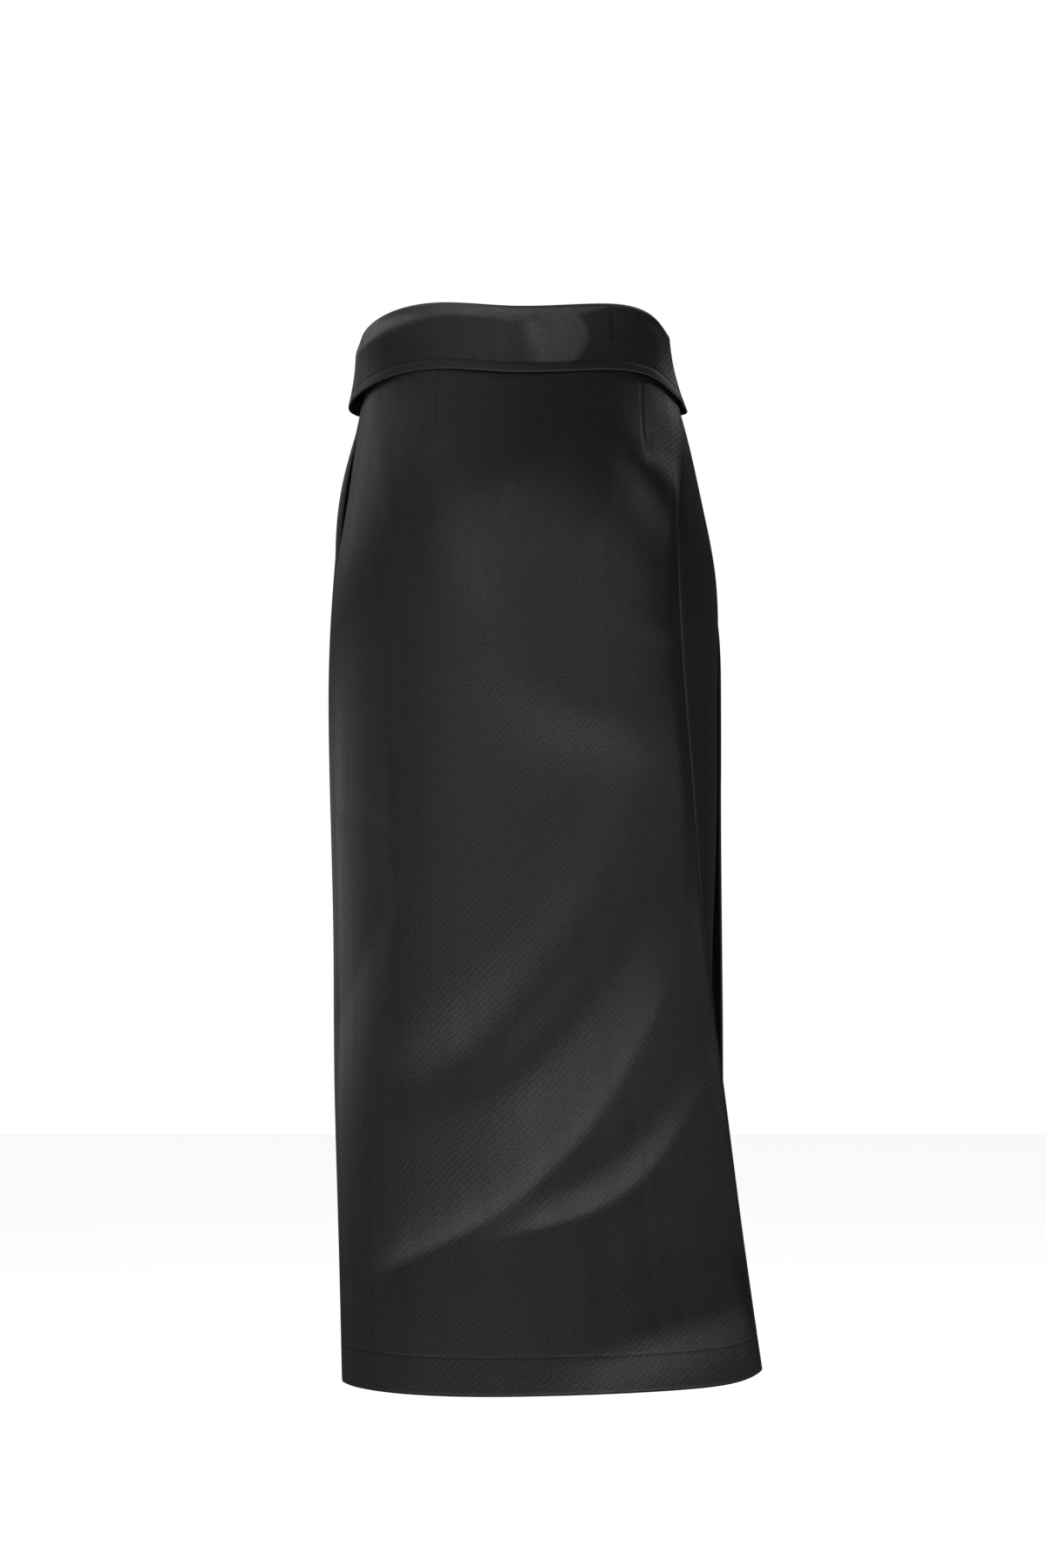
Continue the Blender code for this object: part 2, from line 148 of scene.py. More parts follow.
def make_background():
    """White to the camera, and a dim cool room to the cloth."""
    world = bpy.data.worlds.new("Studio")
    world.use_nodes = True
    bpy.context.scene.world = world
    nodes = world.node_tree.nodes
    links = world.node_tree.links
    room = nodes["Background"]
    room.inputs["Color"].default_value = ROOM_COLOR
    room.inputs["Strength"].default_value = SURROUND
    seen = nodes.new("ShaderNodeBackground")
    seen.inputs["Color"].default_value = (1, 1, 1, 1)
    seen.inputs["Strength"].default_value = BACKGROUND
    path = nodes.new("ShaderNodeLightPath")
    mix = nodes.new("ShaderNodeMixShader")
    links.new(path.outputs["Is Camera Ray"], mix.inputs["Fac"])
    links.new(room.outputs["Background"], mix.inputs[1])
    links.new(seen.outputs["Background"], mix.inputs[2])
    links.new(mix.outputs["Shader"], nodes["World Output"].inputs["Surface"])


floor = make_floor()
make_background()
bpy.context.scene.view_settings.view_transform = "Standard"
print("floor at", FLOOR_Z)

# %% [markdown]
# Two wide lights lie just above the floor and shine up, as white boards on a studio floor do. They
# give the flat parts of the panels their even grey. The boxes in front light the upper sides of the
# folds, the sweeps behind edge the silhouette, and two small reflectors stand near the back and
# break up the upper panel. Their light is a little warm, against the room's cool shade.

# %% Soft boxes
WARM_WHITE = (1.0, 0.985, 0.96)


def soft_box(name, place, aim, size, power):
    """A rectangular light at a place, aimed at a point."""
    light = bpy.data.lights.new(name, "AREA")
    light.shape = "RECTANGLE"
    light.size, light.size_y = size
    light.energy = power
    light.color = WARM_WHITE
    lamp = bpy.data.objects.new(name, light)
    lamp.location = place
    lamp.rotation_euler = (Vector(aim) - Vector(place)).to_track_quat("-Z", "Y").to_euler()
    lamp.visible_camera = False
    bpy.context.scene.collection.objects.link(lamp)


soft_box("Floor bounce", place=(-0.1, -2.1, -1.12), aim=(-0.1, -2.1, 0), size=(5.0, 3.6), power=88)
soft_box("Right bounce", place=(2.3, 0.2, -1.12), aim=(2.3, 0.2, 0), size=(2.4, 2.4), power=10)
soft_box("Front box", place=(-0.8, -3.1, 1.1), aim=(0, 0, -0.3), size=(3.0, 1.1), power=13)
soft_box("Left sweep", place=(-2.0, 1.4, -0.55), aim=(0, 0, -0.5), size=(1.3, 0.5), power=4)
soft_box("Left high sweep", place=(-2.0, 1.4, 0.6), aim=(0, 0, -0.1), size=(1.3, 0.9), power=5)
soft_box("Left high box", place=(-2.3, -0.4, 1.5), aim=(0, 0, 0), size=(1.2, 0.8), power=4)
soft_box("Level box", place=(-0.6, -3.2, 0.05), aim=(0, 0, 0), size=(3.0, 0.35), power=2)
soft_box("Left reflector", place=(-0.65, -1.4, -0.12), aim=(-0.03, -0.12, -0.22),
         size=(0.4, 0.25), power=1.6)
soft_box("Right reflector", place=(0.95, -1.1, -0.12), aim=(0.07, -0.1, -0.22),
         size=(0.4, 0.25), power=1.0)
soft_box("Right high sweep", place=(1.9, 1.3, 1.3), aim=(0, 0, -0.2), size=(1.4, 0.8), power=10)
soft_box("Top box", place=(-0.9, -0.5, 1.7), aim=(0, 0, 0), size=(1.6, 1.2), power=7)

# %% [markdown]
# ## The skirt's form
#
# The whole skirt lies on one smooth form: a stack of outlines, from the waist to the hem. Each
# outline is four quarters of an ellipse with a short turn at each side seam, so a row of eleven
# measures describes it. A sculptor would push a cylinder into shape; measures in a table are
# better here, because the panels, the band, the pocket and the ties all have to lie on the same
# surface. Places round the skirt run from 0 at the left side seam, over 0.5 at the back centre and
# 1 at the right side seam, to 2 at the left seam again.

# %% Sections
SECTION_COLUMNS = "z left_x left_y left_wide right_x right_y right_wide wide_y back front right_turn"
SECTIONS = np.array([
    # z      left_x left_y  l_wide right_x right_y r_wide wide_y back   front  turn
    (0.012, .1368, -.004, .1368, .1200, -.014, .1210, .012, .0860, .0960, 76),
    (-.045, .1330, -.004, .1334, .1232, -.018, .1240, .012, .0895, .1000, 74),
    (-.100, .1408, -.004, .1425, .1335, -.037, .1385, .014, .1060, .1060, 70),
    (-.160, .1495, -.006, .1550, .1315, -.063, .1528, .018, .1232, .1110, 62),
    (-.220, .1592, -.006, .1612, .1300, -.077, .1641, .020, .1262, .1130, 56),
    (-.310, .1644, -.006, .1656, .1345, -.079, .1660, .022, .1228, .1130, 52),
    (-.400, .1640, -.004, .1643, .1420, -.073, .1656, .022, .1200, .1140, 50),
    (-.520, .1613, -.002, .1613, .1520, -.064, .1618, .022, .1176, .1160, 47),
    (-.640, .1606, 0.000, .1606, .1675, -.055, .1570, .022, .1172, .1200, 44),
    (-.760, .1575, 0.000, .1575, .1830, -.053, .1520, .022, .1192, .1240, 41),
    (-.905, .1540, 0.000, .1540, .2035, -.060, .1480, .022, .1312, .1290, 39),
])[::-1]
HIP_Z = -0.31


def spline(keys, values, at):
    """A natural cubic spline through the rows of a table, read at many places at once."""
    gaps = np.diff(keys)
    slopes = np.diff(values, axis=0) / gaps[:, None]
    system = np.eye(len(keys))
    right = np.zeros_like(values)
    for row in range(1, len(keys) - 1):
        system[row, row - 1:row + 2] = gaps[row - 1], 2 * (gaps[row - 1] + gaps[row]), gaps[row]
        right[row] = 6 * (slopes[row] - slopes[row - 1])
    bend = np.linalg.solve(system, right)
    at = np.clip(at, keys[0], keys[-1])
    low = np.clip(np.searchsorted(keys, at) - 1, 0, len(keys) - 2)
    gap = gaps[low][..., None]
    after = (at - keys[low])[..., None]
    before = gap - after
    return (values[low] * before / gap + values[low + 1] * after / gap
            + ((before ** 3 / gap - gap * before) * bend[low]
               + (after ** 3 / gap - gap * after) * bend[low + 1]) / 6)


def section(z):
    """The measures of the outline at each height, by name."""
    rows = spline(SECTIONS[:, 0], SECTIONS, z)
    return {name: rows[..., index] for index, name in enumerate(SECTION_COLUMNS.split())}


print("half hip width", round(float(section(np.array(HIP_Z))["left_x"]), 3), "m")

# %% [markdown]
# A panel's columns should be evenly spaced along the cloth, not by angle. So each half outline is
# first walked in small steps, its length is added up, and then the angle is looked up for a share
# of the length. The point itself is worked out exactly from that angle, which keeps the reflections
# on the cloth free of facets.

# %% Back and front curves
LEFT_TURN = math.radians(80)   # turn of the back between its middle and the left seam
SEAM_WRAP = math.radians(60)   # turn of a front between its widest point and its side seam


def back_curve(s, share):
    """The back half at a share of its turn, from the left seam to the right seam."""
    turn = np.radians(s["right_turn"])
    angle = -LEFT_TURN + (LEFT_TURN + turn) * share
    on_left = angle < 0
    limit = np.where(on_left, LEFT_TURN, turn)
    side_x = np.where(on_left, s["left_x"], s["right_x"])
    side_y = np.where(on_left, s["left_y"], s["right_y"])
    rise = (1 - np.cos(angle)) / (1 - np.cos(limit))
    return side_x * np.sin(angle) / np.sin(limit), -s["back"] + (side_y + s["back"]) * rise


def front_curve(s, share):
    """The front half at a share of its turn, from the right seam to the left seam."""
    angle = -SEAM_WRAP + (math.pi + 2 * SEAM_WRAP) * share
    on_right = angle < math.pi / 2
    wrap = np.clip(np.where(on_right, -angle, angle - math.pi), 0, SEAM_WRAP)
    side = np.where(on_right, 1, -1)
    wide = np.where(on_right, s["right_wide"], s["left_wide"])
    seam_x = np.where(on_right, s["right_x"], s["left_x"])
    seam_y = np.where(on_right, s["right_y"], s["left_y"])
    turned = np.clip(angle, 0, math.pi)
    back_off = (1 - np.cos(wrap)) / (1 - math.cos(SEAM_WRAP))
    x = np.where(wrap > 0, side * (wide + (seam_x - wide) * back_off), wide * np.cos(turned))
    y = np.where(wrap > 0, s["wide_y"] - (s["wide_y"] - seam_y) * np.sin(wrap) / math.sin(SEAM_WRAP),
                 s["wide_y"] + (s["front"] - s["wide_y"]) * np.sin(turned))
    return x, y


print("left seam at the hip:", [round(float(way), 4) for way in back_curve(section(np.array(HIP_Z)), 0.0)])

# %% Places on the outline
LEFT_SEAM = 0.0
RIGHT_SEAM = 1.0
FULL_TURN = 2.0
WALK_STEPS = 48
SIDE_STEP = 0.006              # the outward direction is taken over this share to each side


def walk(curve, s, wanted):
    """Points on a curve at shares of its length, and the length."""
    spread = {name: values[..., None] for name, values in s.items()}
    steps = np.linspace(0, 1, WALK_STEPS + 1)
    x, y = curve(spread, steps)
    lengths = np.concatenate([np.zeros(x.shape[:-1] + (1,)),
                              np.cumsum(np.hypot(np.diff(x), np.diff(y)), axis=-1)], axis=-1)
    target = wanted * lengths[..., -1]
    low = np.clip((lengths <= target[..., None]).sum(axis=-1) - 1, 0, WALK_STEPS - 1)
    start = np.take_along_axis(lengths, low[..., None], -1)[..., 0]
    end = np.take_along_axis(lengths, low[..., None] + 1, -1)[..., 0]
    share = (low + (target - start) / (end - start)) / WALK_STEPS
    x, y = curve(s, share)
    return x, y, lengths[..., -1]


def outline(around, z):
    """Points of the smooth skirt, and the length of the half outline that each is on."""
    around, z = np.broadcast_arrays(np.asarray(around, float) % FULL_TURN, np.asarray(z, float))
    s = section(z)
    back = walk(back_curve, s, np.clip(around, 0, 1))
    front = walk(front_curve, s, np.clip(around - 1, 0, 1))
    on_back = around < RIGHT_SEAM
    return [np.where(on_back, b, f) for b, f in zip(back, front)]


def outward(around, z):
    """Level direction out of the skirt; at a seam it halves the corner."""
    x0, y0, _ = outline(np.asarray(around) - SIDE_STEP, z)
    x1, y1, _ = outline(np.asarray(around) + SIDE_STEP, z)
    size = np.hypot(x1 - x0, y1 - y0)
    return (y1 - y0) / size, (x0 - x1) / size


hip_length = outline(0.5, HIP_Z)[2] + outline(1.5, HIP_Z)[2]
print(f"hip {float(hip_length):.3f} m round")

# %% [markdown]
# ## Folds
#
# The skirt hangs from the waist and flares to the right below, so long slanting folds run across
# the back: broad swells, and hollows whose upper side is sharp. A cloth simulation could find folds
# of its own, but these are known ones, so each is a curve through four places with a height, below
# 0 for a hollow, and a reach above and below its line. The fronts, which the photograph hides, get
# similar ones.

# %% Fold tables
FOLD_COLUMNS = "x0 z0 x1 z1 x2 z2 x3 z3 height above below crisp"
BACK_FOLDS = (
    # x0     z0     x1     z1     x2     z2     x3     z3     height  above below crisp
    (-.140, -.817, -.029, -.757, 0.083, -.642, 0.152, -.494, -.0040, .013, .045, 1),
    (-.032, -.659, 0.010, -.622, 0.068, -.554, 0.140, -.405, 0.0047, .045, .038, 0),
    (-.035, -.781, 0.043, -.757, 0.122, -.700, 0.170, -.612, -.0030, .012, .030, 1),
    (0.000, -.745, 0.050, -.725, 0.110, -.680, 0.150, -.615, 0.0012, .016, .016, 0),
    (-.105, -.645, 0.023, -.559, 0.080, -.474, 0.145, -.325, -.0038, .034, .026, 0),
    (-.135, 0.130, -.060, -.200, 0.010, -.310, 0.145, -.370, 0.0046, .050, .042, 0),
    (0.078, -.121, 0.107, -.146, 0.127, -.170, 0.152, -.204, 0.0072, .022, .022, 0),
    (0.030, -.872, 0.090, -.854, 0.150, -.838, 0.230, -.822, 0.0048, .032, .032, 0),
    (-.168, -.612, -.150, -.578, -.138, -.548, -.104, -.506, -.0036, .060, .030, 1),
)
FINE_FOLDS = (
    (-.162, -.416, -.148, -.422, -.136, -.428, -.112, -.438, -.0011, .007, .007, 1),
    (-.142, 0.030, -.122, -.090, -.113, -.139, -.094, -.230, 0.0012, .008, .010, 0),
    (0.040, -.232, 0.074, -.252, 0.108, -.268, 0.140, -.276, 0.0007, .014, .010, 0),
)
FRONT_FOLDS = (
    (-.140, -.560, -.060, -.640, 0.030, -.735, 0.120, -.800, -.0038, .028, .040, 1),
    (-.140, -.480, -.050, -.570, 0.040, -.650, 0.120, -.715, 0.0034, .042, .038, 0),
    (-.150, -.640, -.080, -.720, 0.000, -.785, 0.070, -.815, -.0026, .016, .030, 1),
    (-.130, -.350, -.040, -.290, 0.040, -.215, 0.120, -.125, 0.0040, .042, .040, 0),
    (-.110, -.210, -.060, -.180, 0.000, -.140, 0.050, -.110, 0.0024, .022, .026, 0),
)
print("folds:", len(BACK_FOLDS) + len(FINE_FOLDS), "behind and", len(FRONT_FOLDS), "in front")

# %% [markdown]
# A swell's profile is a bell. A crisp fold's profile falls off from a sharp line instead, as cloth
# does where it is pulled tight, with the line rounded a little so that it catches the light. Every
# fold eases in and out along its length, and all of them die out just before the side seams.

# %% Lift of one fold
FOLD_FADE = 0.3                # share of its length over which a fold dies out at each end
CRISP_ROUND = 0.003            # a crisp fold's line is rounded over this distance
SLOPE_STEP = 0.001             # a fold line's slope is taken over this distance to each side


def smooth(value, start, end):
    """Ease from 0 at start to 1 at end."""
    share = np.clip((value - start) / (end - start), 0, 1)
    return share * share * (3 - 2 * share)


def fold_line(fold, x):
    """Height of a fold's line: the cubic through its four places."""
    total = 0.0
    for here in "0123":
        term = fold["z" + here]
        for other in "0123".replace(here, ""):
            term = term * (x - fold["x" + other]) / (fold["x" + here] - fold["x" + other])
        total = total + term
    return total


def fold_lift(row, x, z):
    """How far one fold lifts the cloth, or sinks it where its height is negative."""
    fold = dict(zip(FOLD_COLUMNS.split(), row))
    inside = np.clip(x, fold["x0"], fold["x3"])
    slope = (fold_line(fold, inside + SLOPE_STEP) - fold_line(fold, inside - SLOPE_STEP)) / (2 * SLOPE_STEP)
    away = (z - fold_line(fold, inside)) / np.hypot(1, slope)
    reach = np.where(away > 0, fold["above"], fold["below"])
    fade = FOLD_FADE * (fold["x3"] - fold["x0"])
    ends = (smooth(x, fold["x0"] - fade / 2, fold["x0"] + fade)
            * (1 - smooth(x, fold["x3"] - fade, fold["x3"] + fade / 2)))
    if fold["crisp"]:
        profile = np.exp((CRISP_ROUND - np.hypot(away, CRISP_ROUND)) / reach)
    else:
        profile = np.exp(-(away / reach) ** 2)
    return fold["height"] * ends * profile


long_crease = dict(zip(FOLD_COLUMNS.split(), BACK_FOLDS[0]))
print("the long crease crosses the middle at z", round(float(fold_line(long_crease, 0.0)), 3))

# %% The folded skirt
SEAM_FADE = 0.016              # the folds die out over this distance from the side seams
SEAM_DIP = 0.0006              # the cloth turns in this much at a side seam
SEAM_ROLL = 0.0022             # and this far to each side of it


def skirt(around, z, out=0.0):
    """Points of the folded skirt, moved out by a distance."""
    around, z = np.broadcast_arrays(np.asarray(around, float), np.asarray(z, float))
    x, y, length = outline(around, z)
    share = around % 1.0
    to_seam = np.minimum(share, 1 - share) * length
    on_back = around % FULL_TURN < RIGHT_SEAM
    lift_back = sum(fold_lift(row, x, z) for row in BACK_FOLDS + FINE_FOLDS)
    lift_front = sum(fold_lift(row, x, z) for row in FRONT_FOLDS)
    lift = np.where(on_back, lift_back, lift_front) * smooth(to_seam, 0, SEAM_FADE) + out
    lift = lift - SEAM_DIP * np.exp(-(to_seam / SEAM_ROLL) ** 2)
    nx, ny = outward(around, z)
    return x + lift * nx, y + lift * ny, z


print("back centre at the hip, y", round(float(skirt(0.5, HIP_Z)[1]), 4), "m")

# %% [markdown]
# ## How a piece of cloth is made
#
# Each panel starts as a flat grid, as flat as the cloth on the cutting table. Every vertex then
# moves to its place on the skirt, and Solidify gives the cloth its thickness on the inside. The
# grid's own place on the cloth is kept in the UV map, in metres, so that the weave runs with the
# cloth and not with the room.

# %% Cloth from a grid
CLOTH = 0.0015                 # thickness


def cloth(name, node, point, places, ways,
          material="Black satin", wall=CLOTH, painted_highlight=None):
    """A grid laid on a surface: places run round the skirt, ways run down it. It prints the cloth's
    width and length along its grid, and its area."""
    bm = bmesh.new()
    columns = len(places) - 1
    rows = len(ways) - 1
    bmesh.ops.create_grid(bm, x_segments=columns, y_segments=rows, size=0.5)
    grid = np.array([vertex.co[:2] for vertex in bm.verts])
    across = np.rint((grid[:, 0] + 0.5) * columns).astype(int)
    down = np.rint((grid[:, 1] + 0.5) * rows).astype(int)
    place = np.asarray(places)[across]
    way = np.asarray(ways)[down]
    corners = np.stack(point(place, way), axis=-1)
    for vertex, corner in zip(bm.verts, corners.tolist()):
        vertex.co = corner
    width, length = lay_uv(bm, corners, across, down)
    # a painted highlight, if asked for: a value from 0 to 1 at each vertex, by which the material raises
    # the sheen
    if painted_highlight:
        layer = bm.verts.layers.float.new("painted_highlight")
        for vertex, value in zip(bm.verts, painted_highlight(place, way).tolist()):
            vertex[layer] = value
    area = sum(face.calc_area() for face in bm.faces)
    piece = link_mesh(name, bm, [bpy.data.materials[material]])
    shell = piece.modifiers.new("Cloth", "SOLIDIFY")
    shell.thickness = wall
    shell.offset = 1.0         # the wall grows inwards, because the grid's faces point that way
    shell.use_even_offset = False
    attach(piece, "root")
    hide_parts(node)
    print(f"{name}: {width:.3f} x {length:.3f} m, {area:.4f} m2, {len(piece.data.polygons)} faces")
    return piece


def lay_uv(bm, corners, across, down):
    """Store each vertex's distance round and down the cloth, in metres, as its UV; return its size."""
    table = np.zeros((down.max() + 1, across.max() + 1, 3))
    table[down, across] = corners
    steps_round = np.linalg.norm(np.diff(table, axis=1), axis=2)
    steps_down = np.linalg.norm(np.diff(table, axis=0), axis=2)
    middle = table.shape[0] // 2
    u = np.concatenate([[0], np.cumsum(steps_round[middle])])
    v = np.vstack([np.zeros(table.shape[1]), np.cumsum(steps_down, axis=0)])
    layer = bm.loops.layers.uv.new("cloth")
    bm.verts.index_update()
    for face in bm.faces:
        for loop in face.loops:
            index = loop.vert.index
            loop[layer].uv = (u[across[index]], v[down[index], across[index]])
    return steps_round.sum(axis=1).max(), steps_down.sum(axis=0).max()


def spaced(*stops):
    """Values from stop to stop: spaced(a, n, b, m, c) puts n steps from a to b and m from b to c."""
    values = [np.array([stops[0]])]
    for start, steps, end in zip(stops[0::2], stops[1::2], stops[2::2]):
        values.append(np.linspace(start, end, steps + 1)[1:])
    return np.concatenate(values)


print("cloth", CLOTH * 1000, "mm thick")

# %% [markdown]
# ## Satin
#
# The cloth is a heavy satin, nearly black, with a broad dull sheen. A flat dark colour would look
# like plastic. In satin the threads float side by side, so the sheen is stretched across them: that
# is the shader's anisotropy, turned along the cloth's UV map. Close up the cloth has a fine grain
# and faint diagonal bands in its bump, its sheen is mottled by specks, and long streaks down the
# warp change the roughness. A slow noise changes the colour a little, as pressing and handling do.

# %% Textures on the cloth
NOISE_RANGE = (0.3, 0.7)       # nearly all of a noise texture's values lie between these
STREAK_SCALE = (75, 2.0, 1)    # the warp's faint long streaks, down the cloth


def texture(material, kind, scale, detail, stretch=None):
    """A texture that follows the cloth's UV map, which is in metres, stretched if asked."""
    nodes = material.node_tree.nodes
    links = material.node_tree.links
    place = nodes.new("ShaderNodeUVMap")
    place.uv_map = "cloth"
    node = nodes.new(kind)
    node.inputs["Scale"].default_value = scale
    node.inputs["Detail"].default_value = detail
    if stretch:
        mapping = nodes.new("ShaderNodeMapping")
        mapping.inputs["Scale"].default_value = stretch
        links.new(place.outputs["UV"], mapping.inputs["Vector"])
        links.new(mapping.outputs["Vector"], node.inputs["Vector"])
    else:
        links.new(place.outputs["UV"], node.inputs["Vector"])
    return node


def ranged(material, source, spread, wanted):
    """Turn a value that runs over one spread into one that runs over the wanted range."""
    node = material.node_tree.nodes.new("ShaderNodeMapRange")
    node.inputs["From Min"].default_value = spread[0]
    node.inputs["From Max"].default_value = spread[1]
    node.inputs["To Min"].default_value = wanted[0]
    node.inputs["To Max"].default_value = wanted[1]
    material.node_tree.links.new(source, node.inputs["Value"])
    return node.outputs["Result"]


def bump(material, source, strength, depth):
    """A bump of a depth in metres."""
    node = material.node_tree.nodes.new("ShaderNodeBump")
    node.inputs["Strength"].default_value = strength
    node.inputs["Distance"].default_value = depth
    material.node_tree.links.new(source, node.inputs["Height"])
    return node


print("streaks about", round(1000 / STREAK_SCALE[0]), "mm wide and", 1 / STREAK_SCALE[1], "m long")

# %% Grain and bands
GRAIN_SIZE = 0.0012            # of the small unevenness that catches the light
GRAIN_DEPTH = 0.00018
GRAIN_STRENGTH = 0.5
TWILL_SCALE = 111.11           # of a wave texture whose diagonal bands lie 4 mm apart
TWILL_WANDER = 1.5
TWILL_DEPTH = 0.0003
TWILL_STRENGTH = 0.15
SHEEN_STRETCH = 0.75


def weave(material, shader):
    """The grain and the faint diagonal bands, as one bump, and the sheen drawn out along the cloth."""
    nodes = material.node_tree.nodes
    links = material.node_tree.links
    bands = texture(material, "ShaderNodeTexWave", TWILL_SCALE, 1)
    bands.wave_type = "BANDS"
    bands.bands_direction = "DIAGONAL"
    bands.inputs["Distortion"].default_value = TWILL_WANDER
    slubs = texture(material, "ShaderNodeTexNoise", 1 / GRAIN_SIZE, 2)
    grain = bump(material, slubs.outputs["Fac"], GRAIN_STRENGTH, GRAIN_DEPTH)
    twill = bump(material, bands.outputs["Fac"], TWILL_STRENGTH, TWILL_DEPTH)
    links.new(grain.outputs["Normal"], twill.inputs["Normal"])
    links.new(twill.outputs["Normal"], shader.inputs["Normal"])
    along = nodes.new("ShaderNodeTangent")
    along.direction_type = "UV_MAP"
    along.uv_map = "cloth"
    links.new(along.outputs["Tangent"], shader.inputs["Tangent"])
    shader.inputs["Anisotropic"].default_value = SHEEN_STRETCH


print("grain", GRAIN_SIZE * 1000, "mm")

# %% [markdown]
# The band's fold and a patch of the flap catch more light than their shape gives them, so there the
# highlight is painted. Such a place hardly differs in shape, and a flap that leans over to catch
# the light would be bright over far more of its length. So the band's mesh stores the place, as an
# attribute that runs from 0 to 1, and the material raises the sheen by it: a painted highlight. On
# a piece without the attribute it reads as 0.

# %% Sheen
SPECK_SIZE = 0.0022            # of the mottling in the sheen
SPECKLE = 0.22                 # and how much it takes from the sheen, or adds to it
HIGHLIGHT_GAIN = 2.7                    # where a highlight is painted, the sheen is raised this much more


def sheen(material, shader, level):
    """The strength of the sheen: its level, raised by the painted highlight where one is stored, and
    mottled.
    """
    nodes = material.node_tree.nodes
    links = material.node_tree.links
    # the painted highlight stored on the mesh, 0 where a piece has none
    stored = nodes.new("ShaderNodeAttribute")
    stored.attribute_name = "painted_highlight"
    raised = ranged(material, stored.outputs["Fac"], (0, 1), (level, level * HIGHLIGHT_GAIN))
    specks = texture(material, "ShaderNodeTexNoise", 1 / SPECK_SIZE, 3)
    speckle = ranged(material, specks.outputs["Fac"], NOISE_RANGE, (1 - SPECKLE, 1 + SPECKLE))
    mottled = nodes.new("ShaderNodeMath")
    mottled.operation = "MULTIPLY"
    links.new(raised, mottled.inputs[0])
    links.new(speckle, mottled.inputs[1])
    links.new(mottled.outputs["Value"], shader.inputs["Specular IOR Level"])


print("sheen mottled by", SPECKLE, "either way")

# %% Satin and pocketing
SATIN_COLOR = (0.0062, 0.0064, 0.0082, 1)
SATIN_LIGHTER = (0.0092, 0.0094, 0.0112, 1)
PATCHES_SCALE = 14             # of the slow change in colour: patches about 7 cm across


def satin(name, roughness, level):
    """Black satin: its colour, its roughness from low to high, and the level of its sheen."""
    material, nodes, links, shader = new_material(name)
    patches = texture(material, "ShaderNodeTexNoise", PATCHES_SCALE, 3)
    shade = nodes.new("ShaderNodeMix")
    shade.data_type = "RGBA"
    shade.inputs["A"].default_value = SATIN_COLOR
    shade.inputs["B"].default_value = SATIN_LIGHTER
    links.new(patches.outputs["Fac"], shade.inputs["Factor"])
    links.new(shade.outputs["Result"], shader.inputs["Base Color"])
    streaks = texture(material, "ShaderNodeTexNoise", 1, 2, STREAK_SCALE)
    links.new(ranged(material, streaks.outputs["Fac"], NOISE_RANGE, roughness), shader.inputs["Roughness"])
    weave(material, shader)
    sheen(material, shader, level)


satin("Black satin", roughness=(0.42, 0.52), level=0.5)
satin("Black pocketing", roughness=(0.7, 0.85), level=0.3)
print("materials:", [material.name for material in bpy.data.materials])

# %% [markdown]
# ## Panels
#
# The back panel and the two fronts run from the waist seam, under the turned-down band, to the hem.
# At the hem the cloth goes round and comes up inside by about 31 mm, where it is stitched, so each
# panel's grid goes on round the edge and up the inside. Rows are closer together where it turns.
# The panels meet at the side seams with hardly a gap, as sewn cloth does, so no light comes through.

# %% Height of the band's fold
BAND_PLACES = np.array([
    # around top     flare  bow: below 1 the flap rolls out from its fold, above 1 it hangs flatter
    (0.00, -.0165, .0090, 0.55),
    (0.13, -.0035, .0062, 0.60),
    (0.30, 0.0040, .0052, 0.90),
    (0.50, 0.0000, .0050, 1.20),
    (0.70, 0.0024, .0046, 1.10),
    (0.85, 0.0018, .0040, 1.20),
    (0.93, -.0060, .0038, 1.10),
    (1.00, -.0180, .0045, 0.90),
    (1.15, -.0255, .0085, 0.90),
    (1.50, -.0300, .0070, 1.10),
    (1.80, -.0280, .0100, 0.80),
    (1.92, -.0240, .0120, 0.65),
    (2.00, -.0165, .0090, 0.55),
])


def band_measures(around):
    """The band's fold height, its flap's stand-off and its bow, at places round the skirt."""
    before = BAND_PLACES[-4:-1] - (FULL_TURN, 0, 0, 0)
    after = BAND_PLACES[1:4] + (FULL_TURN, 0, 0, 0)
    table = np.vstack([before, BAND_PLACES, after])
    rows = spline(table[:, 0], table, np.asarray(around, float) % FULL_TURN)
    return rows[..., 1], rows[..., 2], rows[..., 3]


print("band's fold at the back centre, z", float(band_measures(0.5)[0]))

# %% Heights of the waist seam and the hem
BAND_RISE = 0.046              # from the waist seam up to the band's fold
SEAM_GAP = 0.0003              # between the band and the panels that hang from it
HEM_Z = -0.8990
HEM_DIP = 0.0055               # the hem hangs this much lower at the left side seam
RIDGE_LIFT = 0.0115            # the hem rises this much at the ridge on the right side
RIDGE_REACH = 0.050            # over this share of a half round to each side


def seam_height(around):
    """Height of the waist seam."""
    return band_measures(around)[0] - BAND_RISE


def hem_height(around):
    """Height of the hem's edge."""
    dip = HEM_DIP * ((1 + np.cos(math.pi * around)) / 2) ** 1.5
    return HEM_Z - dip + RIDGE_LIFT * np.exp(-np.abs(around - RIGHT_SEAM) / RIDGE_REACH)


def panel_height(around, down):
    """Height at a share of the way down; past 1 it comes up again inside the hem."""
    top = seam_height(around) - SEAM_GAP
    return top + (hem_height(around) - top) * (1 - np.abs(1 - down))


print("panel length at the back centre", round(float(seam_height(0.5) - hem_height(0.5)), 3), "m")

# %% The hem's turn and its stitching
PANEL_LENGTH = 0.845           # about, from the waist seam to the hem
HEM_SHARE = 0.9635             # the hem's stitching, as a share of the way down a panel
HEM_FOLD = 0.0019              # the turned-up hem lies this far inside the panel
TURN_START = 0.9995            # shares of the way at which the hem turns in
TURN_END = 1.0015
GROOVE_DEPTH = 0.0001          # a row of stitches pulls the cloth in this much
GROOVE_HALF = 0.0013           # and this far to each side
GROOVE_ROWS = 0.004            # rows are closer within this share of the hem's stitching


